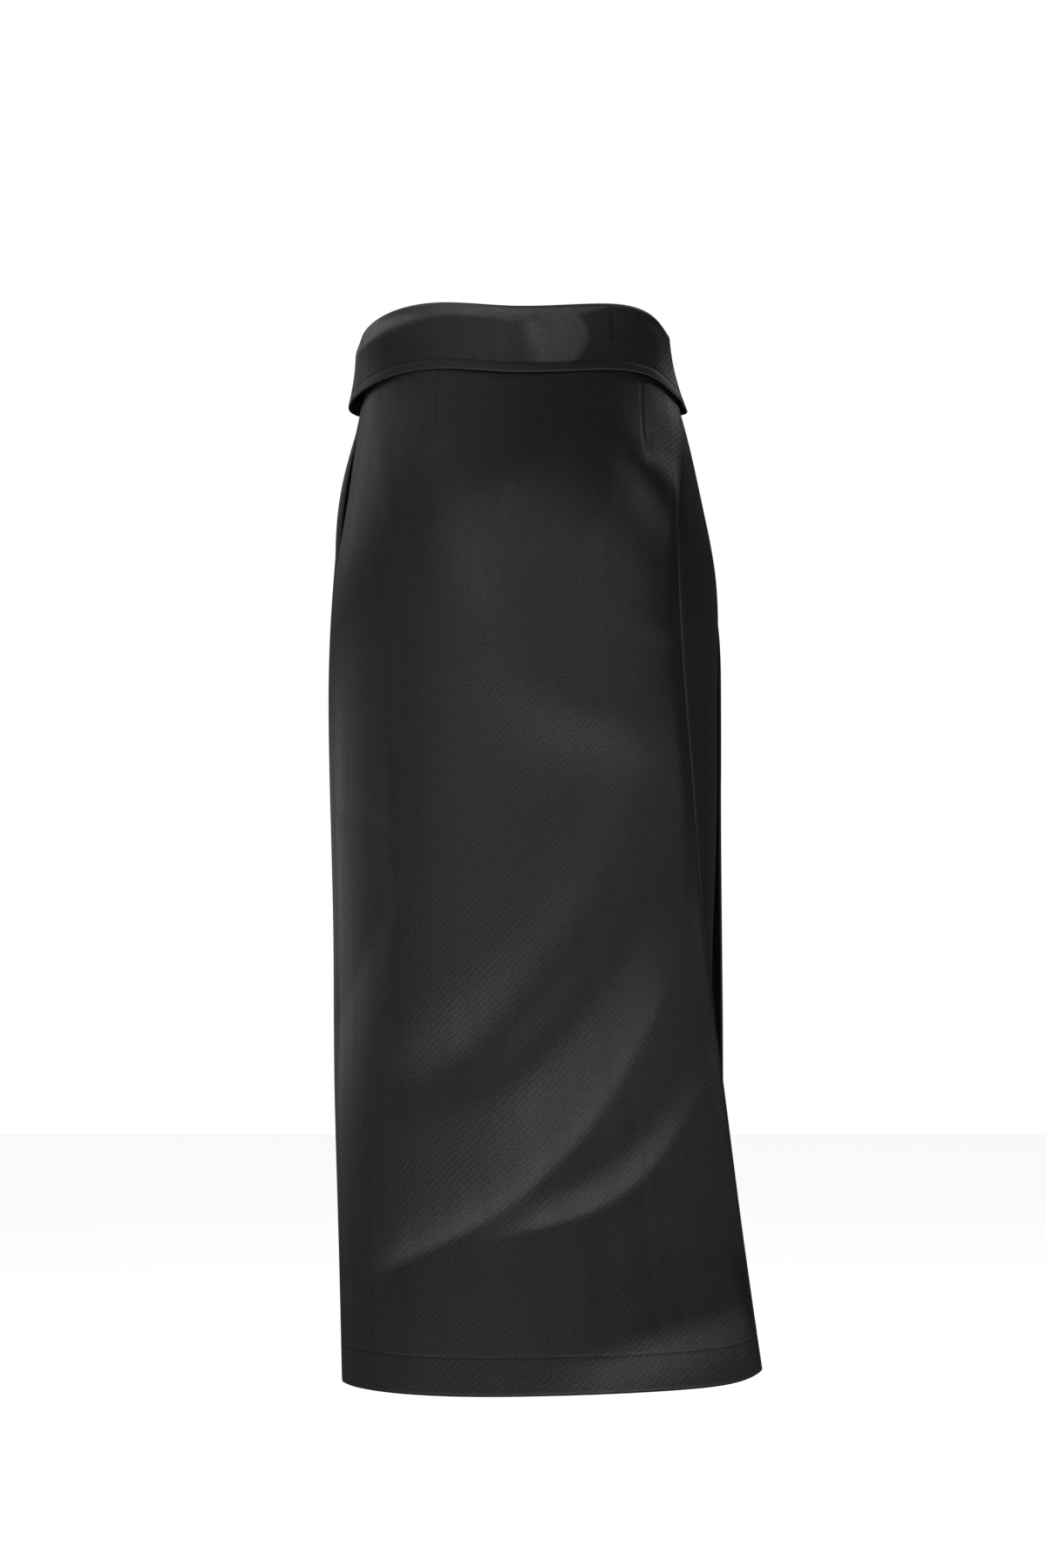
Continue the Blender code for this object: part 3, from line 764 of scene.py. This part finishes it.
def hem_inset(down):
    """Nothing on the outside, and the turned-up hem's depth past the edge."""
    return HEM_FOLD * smooth(down, TURN_START, TURN_END)


def stitch_groove(away):
    """The thread pulls the cloth in along a row of stitches."""
    return -GROOVE_DEPTH * np.exp(-(away / GROOVE_HALF) ** 2)


def hem_shape(down):
    """The hem's groove of stitches, and its turned-up part past the edge."""
    return stitch_groove((down - HEM_SHARE) * PANEL_LENGTH) - hem_inset(down)


panel_ways = spaced(0, 240, HEM_SHARE - GROOVE_ROWS, 10, HEM_SHARE + GROOVE_ROWS, 14, 1.0,
                    3, TURN_END, 12, 2 - HEM_SHARE)
print("panel rows:", len(panel_ways))

# %% Darts
DARTS = ((-0.0700, -0.113), (0.0990, -0.121))    # x and lower end of each
DART_DEPTH = 0.0008            # a dart's line sinks in this much
DART_HALF = 0.0014             # and this far to each side
DART_FADE = 0.012              # a dart's line gets its full depth over this length
DIMPLE = 0.0010                # where a dart runs out
DIMPLE_REACH = 0.009


def dart_dip(x, z):
    """The darts' seam lines, and the dimple below each."""
    dip = 0.0
    for dart_x, end in DARTS:
        line = np.exp(-((x - dart_x) / DART_HALF) ** 2) * smooth(z, end, end + DART_FADE)
        dip = dip + DART_DEPTH * line
        dip = dip + DIMPLE * np.exp(-((x - dart_x) ** 2 + (z - end) ** 2) / DIMPLE_REACH ** 2)
    return dip


print("darts at x", [dart_x for dart_x, _ in DARTS])

# %% Back panel
SEAM_SHARE = 0.00002           # half the gap at a side seam, as a share of a half round
POCKET_TOP = -0.100
POCKET_BOTTOM = -0.204
POCKET_STITCH = 0.0075         # from the pocket's folded edge to its row of stitches
POCKET_FADE = 0.004            # the row's groove runs out this far below the pocket


def back_point(around, down):
    """The back panel, with its hem, its darts and the groove beside the pocket."""
    z = panel_height(around, down)
    x, _, length = outline(around, z)
    beside = smooth(z, POCKET_BOTTOM - POCKET_FADE, POCKET_BOTTOM)
    pocket = beside * stitch_groove(around * length - POCKET_STITCH)
    return skirt(around, z, hem_shape(down) + pocket - dart_dip(x, z))


# The columns are closer at the pocket, at both darts and at the right seam.
back_places = spaced(LEFT_SEAM + SEAM_SHARE, 24, 0.05, 20, 0.300, 20, 0.362, 42, 0.835, 14, 0.872,
                     12, 0.97, 12, RIGHT_SEAM - SEAM_SHARE)
cloth("back_cloth", "back_panel", back_point, back_places, panel_ways)

# %% [markdown]
# The two fronts overlap. The outer one starts at the left seam and ends at a free edge on the right
# front, the inner one starts at the right seam and ends behind it. So the inner front has to move
# in, most at the waist, where the turned-down band lies between the two.

# %% Shape of the fronts
OVERLAP_EDGE = 1.30            # free edge of the outer front, on the right
UNDERLAP_EDGE = 1.66           # free edge of the inner front, past the front centre
UNDERLAP_INSET = 0.0095        # the inner front lies this far in at the waist, under the band's flap
UNDERLAP_REST = 0.0042         # and this far in below
INSET_HEIGHTS = (0.090, 0.015)    # distances below the waist seam between which it moves in
INSET_SHARES = (0.13, 0.02)    # the same round the skirt, before the outer front's edge
POCKET_GAPE = 0.0032           # how far the front's edge stands off the back's at the mouth
POCKET_REACH = 0.10            # share of a half round over which it does


def underlap_inset(around, z):
    """How far in the inner front lies: none at the side seam, most where the outer front covers it."""
    covered = smooth(around, OVERLAP_EDGE - INSET_SHARES[0], OVERLAP_EDGE - INSET_SHARES[1])
    seam = seam_height(around)
    high = smooth(z, seam - INSET_HEIGHTS[0], seam - INSET_HEIGHTS[1])
    return covered * (UNDERLAP_REST + (UNDERLAP_INSET - UNDERLAP_REST) * high)


def pocket_lift(around, z):
    """The front's edge gapes at the pocket's mouth."""
    mouth = np.clip((z - POCKET_BOTTOM) / (POCKET_TOP - POCKET_BOTTOM), 0, 1)
    return POCKET_GAPE * np.sin(math.pi * mouth) * smooth(around, FULL_TURN - POCKET_REACH, FULL_TURN)


print("pocket mouth", round(POCKET_TOP - POCKET_BOTTOM, 3), "m long")


def overlap_point(around, down):
    """The outer front, which gapes at the pocket."""
    z = panel_height(around, down)
    return skirt(around, z, pocket_lift(around, z) + hem_shape(down))


def underlap_point(around, down):
    """The inner front, which moves in under the outer one."""
    z = panel_height(around, down)
    return skirt(around, z, hem_shape(down) - underlap_inset(around, z))


overlap_places = spaced(OVERLAP_EDGE, 12, 1.33, 80, 1.95, 16, FULL_TURN - SEAM_SHARE)
cloth("outer_front_cloth", "front_overlap", overlap_point, overlap_places, panel_ways)
underlap_places = spaced(RIGHT_SEAM + SEAM_SHARE, 12, 1.04, 84, UNDERLAP_EDGE)
cloth("inner_front_cloth", "front_underlap", underlap_point, underlap_places, panel_ways)

# %% [markdown]
# ## Waistband
#
# The band is one long strip. It rises from the waist seam, turns over at the top and hangs outside
# like a collar. A strip swept round the waist as a folded section gives all three parts at once.
# It starts at the outer front's free edge, runs past the left seam, the back and the right seam, and
# ends under its own beginning, at the inner front's free edge.

# %% Parts of the band, from the waist seam to the flap's edge
FLAP_LENGTH = 0.056
FOLD_RADIUS = 0.0024
EDGE_RADIUS = 0.0013           # the flap's edge is a fold of its own
FLAP_RISE = BAND_RISE - FOLD_RADIUS
FLAP_TOP = FLAP_RISE + math.pi * FOLD_RADIUS
FLAP_DROP = FLAP_LENGTH - FOLD_RADIUS - EDGE_RADIUS
FLAP_END = FLAP_TOP + FLAP_DROP
BAND_END = FLAP_END + EDGE_RADIUS * math.pi / 2
print("band, outer side unfolded:", round(BAND_END, 3), "m wide")

# %% [markdown]
# The flap isn't flat. It stands off where the body of the skirt widens under it, and it has a few
# soft bulges, each with its own start and end round the skirt. A bulge rolls out just below the
# fold and then, where its lean is below 0, comes back in towards the flap's edge.

# %% Bulges of the flap
FLAP_FOLDS = (
    # start full  hold  end   height  lean: below 0 the flap comes back in below the bulge
    (-.200, .020, .160, .420, 0.0040, -0.9),
    (0.300, .450, .560, .620, 0.0020, -0.8),
    (0.840, .880, .900, .960, 0.0015, -0.8),
    (1.450, 1.52, 1.60, 1.66, 0.0024, -0.6),
)
BULGES_START = -0.3            # no bulge starts before this place
ROLL = 0.3                     # share of the flap's drop over which a bulge rolls out


def flap_bulge(around, share):
    """Soft bulges in the flap, each rising and ending at its own places round the skirt."""
    around = (around - BULGES_START) % FULL_TURN + BULGES_START
    bulge = 0.0
    for start, full, hold, end, height, lean in FLAP_FOLDS:
        ends = smooth(around, start, full) * (1 - smooth(around, hold, end))
        bulge = bulge + height * ends * (smooth(share, 0, ROLL) + lean * share)
    return bulge


print("bulges:", len(FLAP_FOLDS))

# %% Surface of the band
COVERED_FLARE = 0.0040         # the flap lies this much flatter under the outer front
EDGE_TURN = 0.0070             # the flap's stitching, above its edge
EDGE_PUFF = 0.0002             # the doubled edge below the stitching stands out this much
PUFF_FULL = 0.6                # and does so fully from this share of that height down


def band_point(around, way):
    """Way runs in metres along the strip's width, from the waist seam over the fold to the edge."""
    top, flare, bow = band_measures(around)
    inset = np.where(around > RIGHT_SEAM, underlap_inset(around, seam_height(around)), 0)
    flare = flare - COVERED_FLARE * inset / UNDERLAP_INSET
    fold = np.clip((way - FLAP_RISE) / FOLD_RADIUS, 0, math.pi)
    share = np.clip((way - FLAP_TOP) / FLAP_DROP, 0, 1)
    edge = np.clip((way - FLAP_END) / EDGE_RADIUS, 0, math.pi / 2)
    to_edge = FLAP_DROP * (1 - share)
    puff = EDGE_PUFF * smooth(to_edge, EDGE_TURN, EDGE_TURN * PUFF_FULL) * (share > 0)
    out = (FOLD_RADIUS * (1 - np.cos(fold)) + (flare + CLOTH - 2 * FOLD_RADIUS) * share ** bow
           + flap_bulge(around, share) + puff + stitch_groove(to_edge - EDGE_TURN) * (share > 0)
           - EDGE_RADIUS * (1 - np.cos(edge)) - CLOTH - inset)
    z = (top - BAND_RISE + np.minimum(way, FLAP_RISE) + FOLD_RADIUS * np.sin(fold) * (fold > 0)
         - FLAP_DROP * share - EDGE_RADIUS * np.sin(edge))
    x, y, _ = outline(around, z)
    nx, ny = outward(around, z)
    return x + out * nx, y + out * ny, z


back_edge = band_point(np.array(0.5), np.array(BAND_END))
print("flap's edge at the back centre:", [round(float(value), 4) for value in back_edge])

# %% Painted highlights on the band
# a painted highlight: a rim along the flap's fold, and a patch behind the right hip
RIM_PLACES = (-0.2, 0, .1, .2, .32, .42, .5, .58, .72, .76)
RIM_DEPTHS = (.01, .38, .40, .36, .20, .20, .26, .30, .10, .01)    # shares of the flap's drop
RIM_FADE = 0.55                # the rim fades out from this share of its depth
PATCH_START = (0.495, 0.555)   # places between which the patch fades in
PATCH_SLANT = 0.045            # the patch starts this much further round at the flap's edge
PATCH_END = 0.708
PATCH_FADE = 0.022
PATCH_ROUND = 0.055            # its end is round: it comes back by this much above and below
PATCH_MIDDLE = 0.45            # share of the flap's drop at which it reaches furthest
PATCH_FOOT = (0.93, 0.85)      # shares of the drop between which it fades out below


def band_painted_highlight(around, way):
    """Where the sheen is raised to paint a highlight: along the flap's fold, and over the patch behind the
    right hip.
    """
    share = np.clip((way - FLAP_TOP) / FLAP_DROP, 0, 1)
    depth = np.interp(around, RIM_PLACES, RIM_DEPTHS)
    rim = (way > FLAP_RISE) * (1 - smooth(share, depth * RIM_FADE, depth))
    start = smooth(around - PATCH_SLANT * share, *PATCH_START)
    end = PATCH_END - PATCH_ROUND * (2 * (share - PATCH_MIDDLE)) ** 2
    patch = start * (1 - smooth(around, end - PATCH_FADE, end)) * smooth(share, *PATCH_FOOT)
    return np.maximum(rim, patch)


print("shine in the middle of the patch:", float(band_painted_highlight(0.62, FLAP_TOP + FLAP_DROP / 2)))

# %% Waistband
FOLD_ROWS = 0.008              # rows are closer for this far below the fold
EDGE_ROWS = 0.002              # and from this far above the flap's stitching

band_ways = spaced(0, 14, FLAP_RISE, 12, FLAP_TOP, 8, FLAP_TOP + FOLD_ROWS,
                   18, FLAP_END - EDGE_TURN - EDGE_ROWS, 14, FLAP_END, 5, BAND_END)
band_places = spaced(OVERLAP_EDGE - FULL_TURN, 110, 0.0, 160, 1.0, 100, UNDERLAP_EDGE)
# the band carries the painted highlight
cloth("waistband_cloth", "waistband", band_point, band_places, band_ways,
      painted_highlight=band_painted_highlight)

# %% [markdown]
# ## Pocket bag
#
# The bag hangs inside the outer front, behind the mouth in the left side seam, and only shows from
# inside. It is two layers of a thinner, duller cloth, sewn round the edge. They lie flat together,
# so one sheet as thick as both stands for them.

# %% Pocket bag
BAG_CLOTH = 0.0024             # both layers
BAG_GAP = 0.0019               # from the inside of the outer front
BAG_TOP = -0.085
BAG_BOTTOM = -0.310
BAG_ROUND = 0.060              # its lower corners are this much higher than the middle
BAG_INNER_EDGE = 1.72
BAG_OUTER_EDGE = 1.985
BAG_STEPS = 60


def bag_point(around, down):
    """The bag lies against the inside of the outer front; its lower corners are round."""
    middle = (BAG_INNER_EDGE + BAG_OUTER_EDGE) / 2
    side = (around - middle) / (BAG_OUTER_EDGE - middle)
    bottom = BAG_BOTTOM + BAG_ROUND * side ** 4
    z = BAG_TOP + (bottom - BAG_TOP) * down
    return skirt(around, z, pocket_lift(around, z) - CLOTH - BAG_GAP)


cloth("pocket_bag_cloth", "pocket_bag", bag_point, spaced(BAG_INNER_EDGE, BAG_STEPS, BAG_OUTER_EDGE),
      spaced(0, BAG_STEPS, 1), material="Black pocketing",
      wall=BAG_CLOTH)

# %% [markdown]
# ## Stitching
#
# On the real skirt a machine sews the flap's edge, the hem, the pocket's edge and the free edges of
# the fronts with black thread. A bump texture would do from far off, but close up each stitch is a
# short round thread that sits in a groove. So every stitch is a small ball, drawn out along the
# seam and sunk by half into the cloth; the grooves of the hem, the pocket and the flap are already
# in the cloth. The thread is duller than the satin, so a row reads as dark dots.

# %% Thread
THREAD_COLOR = (0.004, 0.004, 0.005, 1)
TWIST_SCALE = 300              # of the wave texture: a turn of the thread about every millimetre
TWIST_DEPTH = 0.0001
TWIST_STRENGTH = 0.3


def thread_material():
    """Twisted black thread. It is the same all round, so its pattern reads Object coordinates."""
    material, nodes, links, shader = new_material("Black thread")
    shader.inputs["Base Color"].default_value = THREAD_COLOR
    shader.inputs["Roughness"].default_value = 0.85
    shader.inputs["Specular IOR Level"].default_value = 0.2
    place = nodes.new("ShaderNodeTexCoord")
    twist = nodes.new("ShaderNodeTexWave")
    twist.inputs["Scale"].default_value = TWIST_SCALE
    links.new(place.outputs["Object"], twist.inputs["Vector"])
    ridges = bump(material, twist.outputs["Fac"], TWIST_STRENGTH, TWIST_DEPTH)
    links.new(ridges.outputs["Normal"], shader.inputs["Normal"])
    return material


black_thread = thread_material()
print("thread:", black_thread.name)

# %% A row of stitches
STITCH_SIZE = (0.0018, 0.0007, 0.0007)    # along the row, across it and out of the cloth
STITCH_PITCH = 0.0024
RUN_STEPS = 600                # points at which the length of a row is measured
NEARBY = 0.0004                # step on the grid that gives a stitch its direction


def evenly(points, pitch):
    """Shares of a run at which its points lie one pitch apart along the cloth."""
    steps = np.linalg.norm(np.diff(points, axis=0), axis=1)
    total = np.concatenate([[0], np.cumsum(steps)])
    count = max(int(total[-1] / pitch), 1)
    middles = (np.arange(count) + 0.5) * total[-1] / count
    return np.interp(middles, total, np.linspace(0, 1, len(points)))


def sew(name, point, start, end, size=STITCH_SIZE, pitch=STITCH_PITCH):
    """A row of stitches on a piece, from one place on its grid to another, both (place, way)."""
    start = np.array(start)
    end = np.array(end)
    aside = np.array((1, 0)) if start[0] == end[0] else np.array((0, 1))

    def at(shares, move=0.0):
        place, way = (start + (end - start) * shares[:, None] + move * aside).T
        return np.stack(point(place, way), axis=-1)

    shares = evenly(at(np.linspace(0, 1, RUN_STEPS)), pitch)
    runs = at(shares + NEARBY) - at(shares - NEARBY)
    sides = at(shares, NEARBY) - at(shares, -NEARBY)
    bm = bmesh.new()
    for centre, run, side in zip(at(shares), runs, sides):
        run = Vector(run).normalized()
        out = Vector(side).cross(run).normalized()
        turned = Matrix((run, out.cross(run), out)).transposed().to_4x4()
        spot = Matrix.Translation(Vector(centre)) @ turned @ Matrix.Diagonal((*size, 1))
        bmesh.ops.create_icosphere(bm, subdivisions=2, radius=0.5, matrix=spot)
    row = link_mesh(name, bm, [black_thread])
    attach(row, "root")
    return len(shares)


row_ends = np.array([back_point(np.array(share), np.array(HEM_SHARE)) for share in (0.0, 1.0)])
print("the hem's row is", round(float(np.linalg.norm(row_ends[1] - row_ends[0])), 3), "m across the back")

# %% Rows of stitches
BACK_ROUND = 0.345             # length of the back from seam to seam at the pocket
POCKET_ROW = POCKET_STITCH / BACK_ROUND
POCKET_ROW_END = 0.175         # share of the way down at which the pocket's row stops
EDGE_SHARE = 0.018             # a free edge's stitching, as a share of a half round from the edge
EDGE_START = 0.02              # shares of the way down at which it starts and stops
EDGE_STOP = 0.995
ROW_END = 0.004                # the hem's rows stop this share of a half round before an edge
FLAP_ROW_END = 0.01            # and the flap's row this share before the band's ends
OUTER_ROW = OVERLAP_EDGE + EDGE_SHARE
INNER_ROW = UNDERLAP_EDGE - EDGE_SHARE
FLAP_ROW = FLAP_END - EDGE_TURN
STITCH_ROWS = (
    # name, surface, and (place, way) of the start and the end
    ("back_hem_stitches", back_point, (ROW_END, HEM_SHARE), (RIGHT_SEAM - ROW_END, HEM_SHARE)),
    ("pocket_edge_stitches", back_point, (POCKET_ROW, 0.0), (POCKET_ROW, POCKET_ROW_END)),
    ("outer_hem_stitches", overlap_point,
     (OVERLAP_EDGE + ROW_END, HEM_SHARE), (FULL_TURN - ROW_END, HEM_SHARE)),
    ("outer_edge_stitches", overlap_point, (OUTER_ROW, EDGE_START), (OUTER_ROW, EDGE_STOP)),
    ("inner_hem_stitches", underlap_point,
     (RIGHT_SEAM + ROW_END, HEM_SHARE), (UNDERLAP_EDGE - ROW_END, HEM_SHARE)),
    ("inner_edge_stitches", underlap_point, (INNER_ROW, EDGE_START), (INNER_ROW, EDGE_STOP)),
    ("flap_stitches", band_point,
     (OVERLAP_EDGE - FULL_TURN + FLAP_ROW_END, FLAP_ROW), (UNDERLAP_EDGE - FLAP_ROW_END, FLAP_ROW)),
)

for name, surface, first, last in STITCH_ROWS:
    print(name, sew(name, surface, first, last))

# %% [markdown]
# ## Buttonhole
#
# A buttonhole stands upright in the flap at the back right, near the fold. It is worked in satin
# stitch: two close rows of short threads with a slit between them and a bar across each end.
# Modelling each thread keeps it crisp at any distance.

# %% Buttonhole
BUTTONHOLE_AROUND = 0.765
BUTTONHOLE_TOP = FLAP_TOP + 0.0075
BUTTONHOLE_END = FLAP_TOP + 0.0265
BUTTONHOLE_ROW = 0.0009        # from the slit to the middle of each row
BUTTONHOLE_THREAD = (0.0004, 0.0012, 0.0004)
BUTTONHOLE_PITCH = 0.00045
BAR_THREAD = (0.0004, 0.0030, 0.0005)
BAR_PITCH = 0.0004
BAR_HALF = 0.0008              # half of a bar's height
BAND_ROUND = 0.318             # length of the band from seam to seam at the back

for side, name in ((-1, "left"), (1, "right")):
    place = BUTTONHOLE_AROUND + side * BUTTONHOLE_ROW / BAND_ROUND
    sew(f"buttonhole_{name}_row", band_point, (place, BUTTONHOLE_TOP), (place, BUTTONHOLE_END),
        size=BUTTONHOLE_THREAD, pitch=BUTTONHOLE_PITCH)
for way, name in ((BUTTONHOLE_TOP, "top"), (BUTTONHOLE_END, "lower")):
    sew(f"buttonhole_{name}_bar", band_point, (BUTTONHOLE_AROUND, way - BAR_HALF),
        (BUTTONHOLE_AROUND, way + BAR_HALF), size=BAR_THREAD, pitch=BAR_PITCH)
print("buttonhole", round((BUTTONHOLE_END - BUTTONHOLE_TOP) * 1000, 1), "mm")

# %% [markdown]
# ## Ties
#
# The wrap closes on the right front. From the knot one long end runs over the hip and then hangs
# free and plumb, which is the thin strip seen at the right edge from behind; the short end lies on
# the front. Each is a flat sewn tube with a thick, soft edge, so it is laid on the skirt like a
# narrow panel and given a round edge with a bevel.

# %% Shape of the tie's ends
TIE_CLOTH = 0.0025             # thickness of the sewn tube
TIE_GAP = 0.0009               # between the tie and the skirt
TIE_WIDTH = 0.030
TIE_NECK = 0.014               # its width where it leaves the knot
NECK_SHARE = 0.25              # share of an end's length over which it widens
NECK_SPREAD = 0.024            # each end leaves the knot this far to its side
KNOT_AROUND = 1.335
KNOT_Z = -0.099
KNOT_SIZE = (0.034, 0.013, 0.024)    # width, depth and height
LONG_END_AROUND = 1.205
LONG_END_HIP = -0.400          # from here down it hangs free
LONG_END_Z = -0.665
LONG_END_LEAN = 0.0018         # and stands off this much more at its lower end
SHORT_END_AROUND = 1.375
SHORT_END_Z = -0.430
TIE_TOP = KNOT_Z - KNOT_SIZE[2] / 2 - SEAM_GAP


def tie_on_skirt(around, z, across, along, out):
    """A tie's outer side, across from 0 to 1 of its width."""
    _, _, length = outline(around, z)
    width = TIE_NECK + (TIE_WIDTH - TIE_NECK) * smooth(along, 0, NECK_SHARE)
    place = around + (across - 0.5) * width / length
    return skirt(place, z, TIE_CLOTH + TIE_GAP + out)


def long_end_point(across, along):
    """The long end follows the skirt as far as the hip, and keeps its place there further down."""
    z = TIE_TOP + (LONG_END_Z - TIE_TOP) * along
    level = np.maximum(z, LONG_END_HIP)
    leaves = KNOT_AROUND - NECK_SPREAD
    around = leaves + (LONG_END_AROUND - leaves) * smooth(-z, -TIE_TOP, -LONG_END_HIP)
    lean = LONG_END_LEAN * smooth(-z, -LONG_END_HIP, -LONG_END_Z)
    x, y, _ = tie_on_skirt(around, level, across, along, lean)
    return x, y, z


def short_end_point(across, along):
    """The short end lies on the front."""
    z = TIE_TOP + (SHORT_END_Z - TIE_TOP) * along
    leaves = KNOT_AROUND + NECK_SPREAD
    around = leaves + (SHORT_END_AROUND - leaves) * smooth(-z, -TIE_TOP, -SHORT_END_Z)
    return tie_on_skirt(around, z, across, along, 0.0)


print("tie ends", round(TIE_TOP - LONG_END_Z, 3), "and", round(TIE_TOP - SHORT_END_Z, 3), "m")

# %% Ties
TIE_COLUMNS = 12
SOFT_EDGE = 0.35               # the bevel's width, as a share of the thickness


def tie(name, node, point, rows):
    """One end of the tie: a narrow strip of cloth with its edges bevelled."""
    piece = cloth(name, node, point, spaced(0, TIE_COLUMNS, 1), spaced(0, rows, 1),
                  wall=TIE_CLOTH)
    edge = piece.modifiers.new("Soft edge", "BEVEL")
    edge.width = TIE_CLOTH * SOFT_EDGE
    edge.segments = 2
    edge.limit_method = "ANGLE"


tie("tie_long_end", "tie_end_long", long_end_point, 150)
tie("tie_short_end", "tie_end_short", short_end_point, 100)

# %% [markdown]
# In the knot the two ends cross and squeeze each other. It could be modelled as two strips wound
# round each other, but tied tight it is a small flat lump with slanting creases, so a ball is
# dented along two slanting lines, pressed flat, turned to face out of the skirt and put in place.

# %% Knot
KNOT_SLANT = 0.8               # how far the creases lean over
KNOT_CREASES = ((0.10, 0.0, 0.10), (0.05, 0.32, 0.06))    # depth, place and half width of each


def make_knot():
    """A ball pressed flat and creased where the two ends cross in it."""
    nx, ny = outward(KNOT_AROUND, KNOT_Z)
    x, y, z = skirt(KNOT_AROUND, KNOT_Z, KNOT_SIZE[1] / 2 + TIE_GAP)
    facing_out = Vector((0, -1, 0)).rotation_difference(Vector((nx, ny, 0))).to_matrix()
    bm = bmesh.new()
    bmesh.ops.create_uvsphere(bm, u_segments=48, v_segments=32, radius=0.5)
    for vertex in bm.verts:
        lean = vertex.co.x * KNOT_SLANT + vertex.co.z
        vertex.co *= 1 - sum(depth * math.exp(-((lean - place) / width) ** 2)
                             for depth, place, width in KNOT_CREASES)
    bmesh.ops.scale(bm, vec=KNOT_SIZE, verts=bm.verts)
    bmesh.ops.rotate(bm, cent=(0, 0, 0), verts=bm.verts, matrix=facing_out)
    bmesh.ops.translate(bm, vec=(float(x), float(y), float(z)), verts=bm.verts)
    layer = bm.loops.layers.uv.new("cloth")
    for face in bm.faces:
        for loop in face.loops:
            loop[layer].uv = (loop.vert.co.x, loop.vert.co.z)
    piece = link_mesh("knot", bm, [bpy.data.materials["Black satin"]])
    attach(piece, "root")
    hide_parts("tie_knot")
    return piece


knot = make_knot()
print("knot:", len(knot.data.polygons), "faces")
